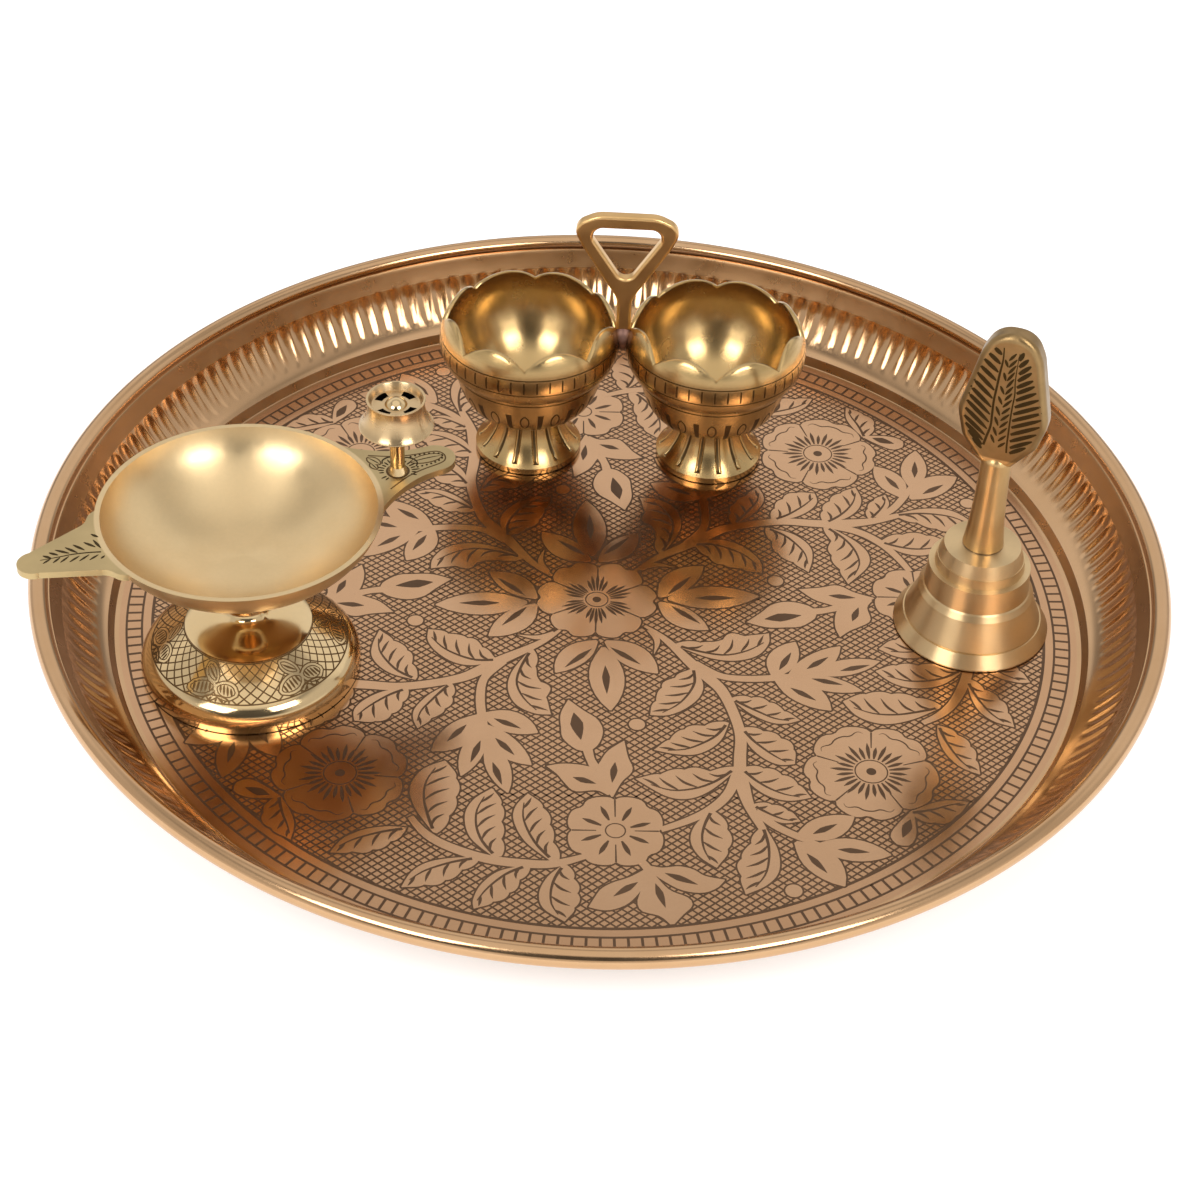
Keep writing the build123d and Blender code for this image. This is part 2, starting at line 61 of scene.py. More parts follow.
def add(tree, kind, **inputs):
    node = tree.nodes.new(kind)
    for key, value in inputs.items():
        node.inputs[key.replace("_", " ")].default_value = value
    return node


def noise(tree, coords, scale, detail=3.0):
    node = add(tree, "ShaderNodeTexNoise", Scale=scale, Detail=detail, Roughness=0.55)
    tree.links.new(coords, node.inputs["Vector"])
    return node.outputs["Fac"]


def ranged(tree, value, low, high, from_low=0.3, from_high=0.7, kind="LINEAR"):
    node = add(tree, "ShaderNodeMapRange", From_Min=from_low, From_Max=from_high, To_Min=low, To_Max=high)
    node.interpolation_type = kind
    tree.links.new(value, node.inputs["Value"])
    return node.outputs["Result"]


def mixed(tree, factor, first, second):
    node = tree.nodes.new("ShaderNodeMix")
    node.data_type = "RGBA"
    tree.links.new(factor, node.inputs["Factor"])
    for value, socket in ((first, node.inputs["A"]), (second, node.inputs["B"])):
        if isinstance(value, bpy.types.NodeSocket):
            tree.links.new(value, socket)
        else:
            socket.default_value = (*value, 1)
    return node.outputs["Result"]


def math_node(tree, operation, first, second=None):
    node = tree.nodes.new("ShaderNodeMath")
    node.operation = operation
    for value, socket in ((first, node.inputs[0]), (second, node.inputs[1])):
        if isinstance(value, bpy.types.NodeSocket):
            tree.links.new(value, socket)
        elif value is not None:
            socket.default_value = value
    return node.outputs[0]


# Width over which a second tone comes in
SPLIT_BLEND = 0.4


def brass(name, colour, deep, rough, grain, centre=None, pitch=0.5, ring=0.0, cloud=45.0,
          turned=0.0, split=None):
    """Brass that drifts between two tones, with fine grain and turned rings round a centre.

    A split gives it a second tone: the way it lies, where it starts, its colour and its roughness.
    """
    material, tree, shader = new_material(name)
    coords = tree.nodes.new("ShaderNodeTexCoord").outputs["Object"]
    drift = noise(tree, coords, cloud, 4.0)
    speck = noise(tree, coords, 900.0, 2.0)
    tone = mixed(tree, ranged(tree, drift, 0.0, 1.0), colour, deep)
    fleck = [0.9 * part for part in colour]
    tone = mixed(tree, ranged(tree, speck, 0.0, 0.35), tone, fleck)
    gloss = ranged(tree, noise(tree, coords, 130.0), rough * 0.85, rough * 1.15)
    shader.inputs["Metallic"].default_value = 1.0
    height = ranged(tree, noise(tree, coords, 1600.0, 2.0), 0.0, grain, 0.0, 1.0)
    if centre is not None:
        parts = tree.nodes.new("ShaderNodeSeparateXYZ")
        tree.links.new(coords, parts.inputs[0])
        x = math_node(tree, "SUBTRACT", parts.outputs[0], centre[0] * MM)
        y = math_node(tree, "SUBTRACT", parts.outputs[1], centre[1] * MM)
        squares = [math_node(tree, "MULTIPLY", part, part) for part in (x, y)]
        radius = math_node(tree, "SQRT", math_node(tree, "ADD", *squares))
        run = math_node(tree, "ADD", radius, parts.outputs[2])
        wave = math_node(tree, "SINE", math_node(tree, "MULTIPLY", run, 2 * math.pi / (pitch * MM)))
        uneven = math_node(tree, "MULTIPLY", wave, noise(tree, coords, 260.0))
        height = math_node(tree, "ADD", height, math_node(tree, "MULTIPLY", uneven, ring))
        if turned:
            round_way = tree.nodes.new("ShaderNodeCombineXYZ")
            tree.links.new(math_node(tree, "MULTIPLY", y, -1.0), round_way.inputs[0])
            tree.links.new(x, round_way.inputs[1])
            way = tree.nodes.new("ShaderNodeVectorTransform")
            way.vector_type, way.convert_from, way.convert_to = "VECTOR", "OBJECT", "WORLD"
            tree.links.new(round_way.outputs[0], way.inputs[0])
            tree.links.new(way.outputs[0], shader.inputs["Tangent"])
            shader.inputs["Anisotropic"].default_value = turned
            shader.inputs["Anisotropic Rotation"].default_value = 0.25
        if split:
            along, limit, other, other_rough = split
            measure = {"out": radius, "up": parts.outputs[2]}[along]
            beyond = ranged(tree, measure, 0.0, 1.0, (limit - SPLIT_BLEND) * MM, limit * MM)
            other_deep = [0.72 * part for part in other]
            other_tone = mixed(tree, ranged(tree, drift, 0.0, 1.0), other, other_deep)
            tone = mixed(tree, beyond, tone, other_tone)
            gloss = math_node(tree, "MAXIMUM", gloss, math_node(tree, "MULTIPLY", beyond, other_rough))
    tree.links.new(tone, shader.inputs["Base Color"])
    tree.links.new(gloss, shader.inputs["Roughness"])
    bump = add(tree, "ShaderNodeBump", Strength=0.5, Distance=0.0002)
    tree.links.new(height, bump.inputs["Height"])
    tree.links.new(bump.outputs[0], shader.inputs["Normal"])
    return material


floor_brass = brass("tray_floor_brass", (0.58, 0.338, 0.185), (0.54, 0.31, 0.165), 0.2, 0.04)
motif_brass = brass("tray_motif_brass", (0.6, 0.362, 0.205), (0.57, 0.335, 0.183), 0.18, 0.02)
etch_brass = brass("tray_etched_brass", (0.155, 0.09, 0.052), (0.12, 0.07, 0.04), 0.4, 0.25)
wall_brass = brass("tray_wall_brass", (0.59, 0.368, 0.2), (0.54, 0.325, 0.165), 0.17, 0.02)
# Darker brass on the riser, the upper wall and the crease under the rim: painted shade and painted dark
# reflection
painted_shade_brass = brass("tray_painted_shade_brass", (0.42, 0.25, 0.125), (0.37, 0.215, 0.1), 0.3, 0.005)
lamp_brass = brass("lamp_brass_look", (0.72, 0.53, 0.29), (0.69, 0.49, 0.25), 0.12, 0.01, LAMP, 0.55, 0.02)
dish_brass = brass("dish_brass_look", (0.73, 0.54, 0.295), (0.71, 0.515, 0.275), 0.34, 0.01, LAMP, 0.8, 0.0,
                   turned=0.6, split=("out", 36.6, (0.57, 0.42, 0.205), 0.36))
head_brass = brass("head_brass_look", (0.63, 0.45, 0.25), (0.6, 0.42, 0.22), 0.28, 0.01, HEAD, 0.5, 0.03,
                   turned=0.85)
groove_brass = brass("groove_brass", (0.14, 0.08, 0.032), (0.1, 0.056, 0.021), 0.42, 0.2)
cup_brass = {
    side: brass(side + "_cup_brass", (0.56, 0.385, 0.175), (0.52, 0.345, 0.145), 0.25, 0.01, centre,
                0.6, 0.02, turned=0.6)
    for side, centre in CUPS.items()
}
loop_brass = brass("loop_brass_look", (0.74, 0.475, 0.205), (0.58, 0.35, 0.14), 0.33, 0.15)
braze = brass("braze_look", (0.25, 0.14, 0.105), (0.07, 0.042, 0.042), 0.5, 0.9, cloud=220.0)
bell_brass = brass("bell_brass_look", (0.68, 0.49, 0.265), (0.65, 0.45, 0.23), 0.34, 0.01, BELL, 0.5, 0.04,
                   turned=0.92)
leaf_brass = brass("leaf_brass_look", (0.66, 0.45, 0.21), (0.6, 0.39, 0.17), 0.36, 0.1, BELL, 0.5, 0.03,
                   160.0, 0.8, ("up", STAND + 58.0, (0.36, 0.23, 0.1), 0.3))
mark_brass = brass("cup_mark_brass", (0.12, 0.075, 0.032), (0.085, 0.052, 0.022), 0.45, 0.15)
carved_dark = brass("carved_dark_brass", (0.075, 0.05, 0.02), (0.045, 0.03, 0.012), 0.5, 0.4)
# Near-black brass for the incense head's holes: painted shade in the holes
hole_painted_shade = brass("hole_painted_shade_brass", (0.018, 0.013, 0.01), (0.01, 0.008, 0.006), 0.6, 0.2)
steel = brass("steel_look", (0.45, 0.44, 0.43), (0.36, 0.35, 0.34), 0.3, 0.1)


# Meshes

def put(name, verts, faces, materials, body, face_slots=None, angle=35.0):
    """Object from points in millimetres, smooth up to an angle, riding on a CAD body."""
    mesh = bpy.data.meshes.new(name)
    mesh.from_pydata([(x * MM, y * MM, z * MM) for x, y, z in verts], [], faces)
    for material in materials:
        mesh.materials.append(material)
    if face_slots:
        mesh.polygons.foreach_set("material_index", face_slots)
    made = bmesh.new()
    made.from_mesh(mesh)
    bmesh.ops.recalc_face_normals(made, faces=made.faces)
    made.to_mesh(mesh)
    made.free()
    mesh.shade_smooth()
    mesh.set_sharp_from_angle(angle=math.radians(angle))
    piece = bpy.data.objects.new(name, mesh)
    bpy.context.scene.collection.objects.link(piece)
    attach(piece, body)
    return piece


def between(a, b, c, d, t):
    """Point of a smooth curve from b to c."""
    return tuple(
        0.5 * (2 * q + (r - p) * t + (2 * p - 5 * q + 4 * r - s) * t * t + (3 * q - p - 3 * r + s) * t ** 3)
        for p, q, r, s in zip(a, b, c, d)
    )


def smooth(points, count):
    """Points spread evenly along a smooth curve through the given ones."""
    if len(points) == 2:
        dense = points
    else:
        ends = [points[0], *points, points[-1]]
        dense = []
        for a, b, c, d in zip(ends, ends[1:], ends[2:], ends[3:]):
            dense += [between(a, b, c, d, step / 8) for step in range(8)]
        dense.append(points[-1])
    lengths = [0.0]
    for a, b in zip(dense, dense[1:]):
        lengths.append(lengths[-1] + math.dist(a, b))
    out, at = [], 0
    for step in range(count):
        want = lengths[-1] * step / (count - 1)
        while at < len(dense) - 2 and lengths[at + 1] < want:
            at += 1
        share = (want - lengths[at]) / max(lengths[at + 1] - lengths[at], 1e-9)
        out.append(tuple(p + (q - p) * share for p, q in zip(dense[at], dense[at + 1])))
    return out


def normals(path):
    """Unit normals on the left of a path."""
    out = []
    for i in range(len(path)):
        a, b = path[max(i - 1, 0)], path[min(i + 1, len(path) - 1)]
        dx, dy = b[0] - a[0], b[1] - a[1]
        size = math.hypot(dx, dy) or 1.0
        out.append((-dy / size, dx / size))
    return out


def ribbon(points, widths, count=None):
    """Strip along a path: widths from start to end, spread evenly."""
    path = smooth(points, count or max(8, 4 * len(points)))
    sides = normals(path)
    left, right = [], []
    for i, ((x, y), (nx, ny)) in enumerate(zip(path, sides)):
        at = i / (len(path) - 1) * (len(widths) - 1)
        low = min(int(at), len(widths) - 2)
        half = 0.5 * (widths[low] + (widths[low + 1] - widths[low]) * (at - low))
        half = max(half, 0.01)
        left.append((x + nx * half, y + ny * half))
        right.append((x - nx * half, y - ny * half))
    return left, right


LEAF_WIDTHS = (0.12, 0.5, 0.8, 0.96, 1.0, 0.93, 0.76, 0.48, 0.05)
SPINDLE_WIDTHS = (0.05, 0.6, 1.0, 0.85, 0.5, 0.05)


def leaf(base, tip, width, bow):
    """Plain pointed leaf from base to tip, bowed to its left."""
    dx, dy = tip[0] - base[0], tip[1] - base[1]
    middle = ((base[0] + tip[0]) / 2 - dy * bow, (base[1] + tip[1]) / 2 + dx * bow)
    return ribbon([base, middle, tip], [width * share for share in LEAF_WIDTHS], 17)


def spindle(base, tip, width):
    return ribbon([base, tip], [width * share for share in SPINDLE_WIDTHS], 11)


def polar(centre, radius, angle):
    return centre[0] + radius * math.cos(angle), centre[1] + radius * math.sin(angle)


def disc(centre, radius, count=28):
    return [polar(centre, radius, 2 * math.pi * i / count) for i in range(count)]


def annulus(centre, outer, inner, count):
    """Two closed circles, as the sides of a strip."""
    circles = [disc(centre, radius, count) for radius in (outer, inner)]
    return [circle + circle[:1] for circle in circles]


def grown(outline, gap):
    """Closed outline moved outwards by a gap."""
    size = len(outline)
    area = sum(a[0] * b[1] - b[0] * a[1] for a, b in zip(outline, outline[1:] + outline[:1]))
    turn = 1.0 if area > 0 else -1.0
    out = []
    for i in range(size):
        ax, ay = outline[i - 1]
        bx, by = outline[i]
        cx, cy = outline[(i + 1) % size]
        d1, d2 = math.hypot(bx - ax, by - ay) or 1.0, math.hypot(cx - bx, cy - by) or 1.0
        nx = (by - ay) / d1 + (cy - by) / d2
        ny = -(bx - ax) / d1 - (cx - bx) / d2
        dot = math.hypot(nx, ny)
        if dot < 0.2:
            tx, ty = (bx - ax) / d1, (by - ay) / d1
            out.append((bx + tx * gap * 1.3, by + ty * gap * 1.3))
        else:
            reach = min(2.0 / dot, 1.8) * gap * turn / dot
            out.append((bx + nx * reach, by + ny * reach))
    return out


class Plates:
    """Thin closed plates of one finish, laid on a surface."""

    # Each plate lies a little higher than the one before, so that those that cross seldom share a plane
    STEP, STEPS = 0.0002, 67

    def __init__(self, low, high):
        self.low, self.base = low, high
        self.verts, self.faces, self.count = [], [], 0

    @property
    def high(self):
        return self.base + self.STEP * (self.count % self.STEPS)

    def points(self, flat, surface, height):
        start = len(self.verts)
        self.verts.extend(surface(u, v, height) for u, v in flat)
        return list(range(start, start + len(flat)))

    def strip(self, sides, surface):
        left, right = sides
        count = len(left)
        self.count += 1
        tl, tr = self.points(left, surface, self.high), self.points(right, surface, self.high)
        bl, br = self.points(left, surface, self.low), self.points(right, surface, self.low)
        for i in range(count - 1):
            j = i + 1
            self.faces += [
                (tl[i], tr[i], tr[j], tl[j]), (bl[i], bl[j], br[j], br[i]),
                (tl[i], tl[j], bl[j], bl[i]), (tr[i], br[i], br[j], tr[j]),
            ]
        self.faces += [(tl[0], bl[0], br[0], tr[0]), (tl[-1], tr[-1], br[-1], bl[-1])]

    def fan(self, centre, ring, surface):
        self.count += 1
        top, low = self.points(ring, surface, self.high), self.points(ring, surface, self.low)
        mid, under = self.points([centre], surface, self.high)[0], self.points([centre], surface, self.low)[0]
        for i in range(len(ring)):
            j = (i + 1) % len(ring)
            self.faces += [(mid, top[i], top[j]), (under, low[j], low[i]), (top[i], low[i], low[j], top[j])]

    def build(self, name, material, body, slot):
        return put(name, self.verts, self.faces, [material], body, angle=20.0)


# The tray: a lathed sheet with a ring of pressed flutes

# Flutes, mesh columns across one, and how many of these make one column on plain rows
FLUTES, ACROSS, PLAIN = 184, 10, 5
# Their ends as shares of the wall's curve, slack of the fine rows there, and depth
FLUTE_LOW, FLUTE_HIGH, FLUTE_SLACK, FLUTE_DEEP = 0.2, 0.79, 0.03, 0.34
# The wall's curve, its rows inside and outside, and the share where its painted shade starts
WALL = ((133.9, 3.75), (137.43, 5.63), (143.09, 13.71), (146.6, 20.9))
WALL_ROWS, OUTSIDE_ROWS, PAINTED_SHADE_FROM = 40, 12, 0.8
# The rolled rim: its first angle and its sweep in degrees
ROLL_CENTRE, ROLL_RADIUS, ROLL_START, ROLL_SWEEP, ROLL_ROWS = (149.84, 22.0), 2.59, 190.0, 314.0, 24
FLOOR_ZONE, WALL_ZONE, PAINTED_SHADE_ZONE = 0, 1, 2


def wall_point(t):
    """Point of the wall's curve, from shelf to lip, and its way outwards."""
    p0, p1, p2, p3 = (Vector(p) for p in WALL)
    u = 1 - t
    point = p0 * u ** 3 + p1 * 3 * u * u * t + p2 * 3 * u * t * t + p3 * t ** 3
    run = ((p1 - p0) * u * u + (p2 - p1) * 2 * u * t + (p3 - p2) * t * t).normalized()
    return point.x, point.y, (run.y, -run.x)


def rounded(points, radii, steps=5):
    """Polyline with its corners turned into short arcs."""
    out = [points[0]]
    for a, b, c, radius in zip(points, points[1:], points[2:], radii):
        ab, cb = Vector(a) - Vector(b), Vector(c) - Vector(b)
        half = ab.angle(cb) / 2
        back = min(radius / math.tan(half), 0.45 * ab.length, 0.45 * cb.length)
        start, end = Vector(b) + ab.normalized() * back, Vector(b) + cb.normalized() * back
        for step in range(steps + 1):
            t = step / steps
            p = start * (1 - t) ** 2 + Vector(b) * 2 * t * (1 - t) + end * t * t
            out.append((p.x, p.y))
    out.append(points[-1])
    return out


def flute(share, across):
    """Depth of a hollow flute, by its share of the wall's curve and of half its width."""
    if not FLUTE_LOW < share < FLUTE_HIGH:
        return 0.0
    rise = (share - FLUTE_LOW) / (FLUTE_HIGH - FLUTE_LOW)
    width = 0.5 + 0.5 * min(rise / 0.7, 1.0)
    low, top = min(rise / 0.14, 1.0), min((1.0 - rise) / 0.22, 1.0)
    width *= math.sqrt(1 - (1 - low) ** 2) * math.sqrt(1 - (1 - top) ** 2)
    inside = 1.0 - (across / max(width, 1e-6)) ** 2
    if inside <= 0:
        return 0.0
    swell = (0.35 + 0.65 * min(rise / 0.6, 1.0)) * min(1.0, 0.3 + 0.7 * low) * (0.3 + 0.7 * top)
    return FLUTE_DEEP * swell * inside


def tray_rows():
    """Half section of the sheet as (radius, height, share of the fluted wall or None, zone, way outwards)."""
    def even(points, zone):
        return [(r, z, None, zone, None) for r, z in points]

    rows = even([(r, FLOOR_TOP) for r in (0.0, 40.0, 80.0, 110.0, 123.0, 130.8)], FLOOR_ZONE)
    riser = rounded([(131.0, FLOOR_TOP), (132.0, FLOOR_TOP), (133.5, 3.5), (134.3, 3.95)], [0.5, 0.35])
    # The riser above the floor takes the painted shade
    for r, z in riser[1:-1]:
        rows += even([(r, z)], PAINTED_SHADE_ZONE if z > FLOOR_TOP + 0.1 else WALL_ZONE)
    for i in range(1, WALL_ROWS + 1):
        share = i / WALL_ROWS
        r, z, out = wall_point(share)
        fluted = FLUTE_LOW - FLUTE_SLACK < share < FLUTE_HIGH + FLUTE_SLACK
        zone = PAINTED_SHADE_ZONE if share > PAINTED_SHADE_FROM else WALL_ZONE
        rows.append((r, z, share, zone, out if fluted else None))
    # The crease under the rim takes the painted shade
    crease = rounded([WALL[-1], (146.95, 21.5), (147.32, 21.56)], [0.15], 3)
    rows += even(crease[1:-1], PAINTED_SHADE_ZONE)
    angles = [math.radians(ROLL_START - ROLL_SWEEP * i / ROLL_ROWS) for i in range(ROLL_ROWS + 1)]
    rows += even([polar(ROLL_CENTRE, ROLL_RADIUS, angle) for angle in angles], WALL_ZONE)
    rows += even(rounded([(148.2, 19.86), (147.6, 19.9), (145.6, 16.8)], [0.7], 3), WALL_ZONE)
    for i in range(OUTSIDE_ROWS, -1, -1):
        share = i / OUTSIDE_ROWS
        rows.append((137.4 + 7.6 * share, 4.85 + 10.95 * share, 0.2 + 0.6 * share, WALL_ZONE, (0.82, -0.57)))
    under = rounded([(137.2, 4.7), (134.35, 2.9), (132.6, 0.0), (131.0, 0.0)], [0.7, 0.7], 3)
    return rows + even([*under[1:], (60.0, 0.0), (0.0, 0.0)], WALL_ZONE)


def make_tray():
    rows = tray_rows()
    verts, rings = [], []
    for radius, height, share, _, out in rows:
        count = FLUTES * ACROSS if out is not None else FLUTES * ACROSS // PLAIN
        if radius == 0.0:
            verts.append((0.0, 0.0, height))
            rings.append([len(verts) - 1] * count)
            continue
        ring = []
        for i in range(count):
            angle = 2 * math.pi * i / count
            r, z = radius, height
            if out is not None:
                deep = flute(share, abs((i % ACROSS) / ACROSS * 2 - 1))
                r, z = radius + deep * out[0], height + deep * out[1]
            verts.append((*polar((0, 0), r, angle), z))
            ring.append(len(verts) - 1)
        rings.append(ring)
    faces, zones = [], []
    for low, high, row in zip(rings, rings[1:], rows[1:]):
        count = min(len(low), len(high))
        below, above = len(low) // count, len(high) // count
        for i in range(count):
            face = [low[k % len(low)] for k in range(i * below, (i + 1) * below + 1)]
            face += [high[k % len(high)] for k in range((i + 1) * above, i * above - 1, -1)]
            faces.append(tuple(dict.fromkeys(face)))
            zones.append(row[3])
    materials = [floor_brass, wall_brass, painted_shade_brass]
    tray = put("tray_fluted_pan", verts, faces, materials, "tray", zones, 50.0)
    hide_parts("tray_pan")


make_tray()

# The etched floor: one quarter of the scroll work, turned four times

QUARTER_CENTRE = (-0.5, -0.6)
# Width of the dark line round each leaf and flower
OUTLINE = 0.48
# The net: the ways square to its lines in degrees, lines to each side, pitch, width and outer edge
NET_WAYS, NET_LINES, NET_PITCH, NET_WIDTH, NET_EDGE = (52.5, -48.5), 67, 1.8, 0.5, 121.7
# The border: radius and width of its rings, and the bars between the last two
BORDER_RINGS, BORDER_BARS, BAR_WIDTH = ((121.9, 0.8), (124.7, 0.6), (128.8, 0.6)), 236, 0.7
shapes, flowers, marks = [], [], []


def plain(base, tip, width, mark_from, mark_to, bow=0.0, mark=1.8):
    """Pointed leaf with one stroke along it."""
    shapes.append(leaf(base, tip, width, bow))
    marks.append(spindle(mark_from, mark_to, mark))


def outlined(first, second, mark_from, mark_to, mark=1.9, count=18):
    """Shape between two edges that run from its root to its tip, with one stroke along it."""
    shapes.append((smooth(first, count), smooth(second, count)))
    marks.append(spindle(mark_from, mark_to, mark))


def serrated(plain_edge, wavy_edge, lobes=4, strokes=5, wave=0.75):
    """Leaf with one plain edge, one lobed edge, a rib and slanted strokes."""
    count = 8 * lobes + 1
    near, far = smooth(plain_edge, count), smooth(wavy_edge, count)
    out = []
    for i, ((x, y), (px, py)) in enumerate(zip(far, near)):
        lobe = abs(math.sin(math.pi * lobes * i / (count - 1))) ** 0.8
        size = math.hypot(x - px, y - py) or 1.0
        fade = min(1.0, 4 * (1 - i / (count - 1)))
        out.append((x + (x - px) / size * wave * lobe * fade, y + (y - py) / size * wave * lobe * fade))
    shapes.append((near, out))

    def at(share, across):
        i = min(max(share, 0.0), 1.0) * (count - 1)
        low = min(int(i), count - 2)
        a = [p + (q - p) * (i - low) for p, q in zip(near[low], near[low + 1])]
        b = [p + (q - p) * (i - low) for p, q in zip(far[low], far[low + 1])]
        return (a[0] + (b[0] - a[0]) * across, a[1] + (b[1] - a[1]) * across)

    rib = [at(s, 0.3) for s in (0.05, 0.25, 0.45, 0.65, 0.85)]
    marks.append(ribbon(rib, (0.9, 0.7, 0.55, 0.3), 14))
    for i in range(strokes):
        share = 0.1 + 0.66 * i / max(strokes - 1, 1)
        start, middle, end = at(share, 0.32), at(share + 0.1, 0.56), at(share + 0.17, 0.84)
        marks.append(ribbon([start, middle, end], (0.3, 0.85, 0.7, 0.1), 8))


def flower(centre, splits, radius, stamens, reach, notch, dip, ring, dot, contour=True):
    """Flower of heart-shaped petals between split lines, with stamens round a light ring."""
    outline = []
    for a, b in zip(splits, [*splits[1:], splits[0] + 360]):
        inner = []
        for step in range(17):
            s = step / 17
            r = 1 - dip + dip * math.sin(math.pi * s) ** 0.55 - notch * math.exp(-(((s - 0.5) / 0.09) ** 2))
            angle = math.radians(a + (b - a) * s)
            outline.append(polar(centre, radius * r, angle))
            if 2 <= step <= 15:
                r = r - 0.15 - 0.05 * math.cos(6 * math.pi * s)
                inner.append(polar(centre, radius * r, angle))
        if contour:
            marks.append(ribbon(inner, (0.1, 0.4, 0.45, 0.4, 0.1), 30))
        angle = math.radians(a)
        ends = [polar(centre, r, angle) for r in (reach * 0.8, radius * (1 - dip))]
        marks.append(ribbon(ends, (0.3, 0.5), 4))
    flowers.append((centre, outline))
    for angle, low, high, width in stamens:
        angle = math.radians(angle)
        ends = [polar(centre, r, angle) for r in (low, high)]
        marks.append(ribbon(ends, (width * 0.35, width * 0.9, width, 0.1), 9))
    marks.append(annulus(centre, ring + 0.35, ring, 32))
    marks.append(annulus(centre, dot, 0.02, 20))


def stem(points, widths):
    shapes.append(ribbon(points, widths))


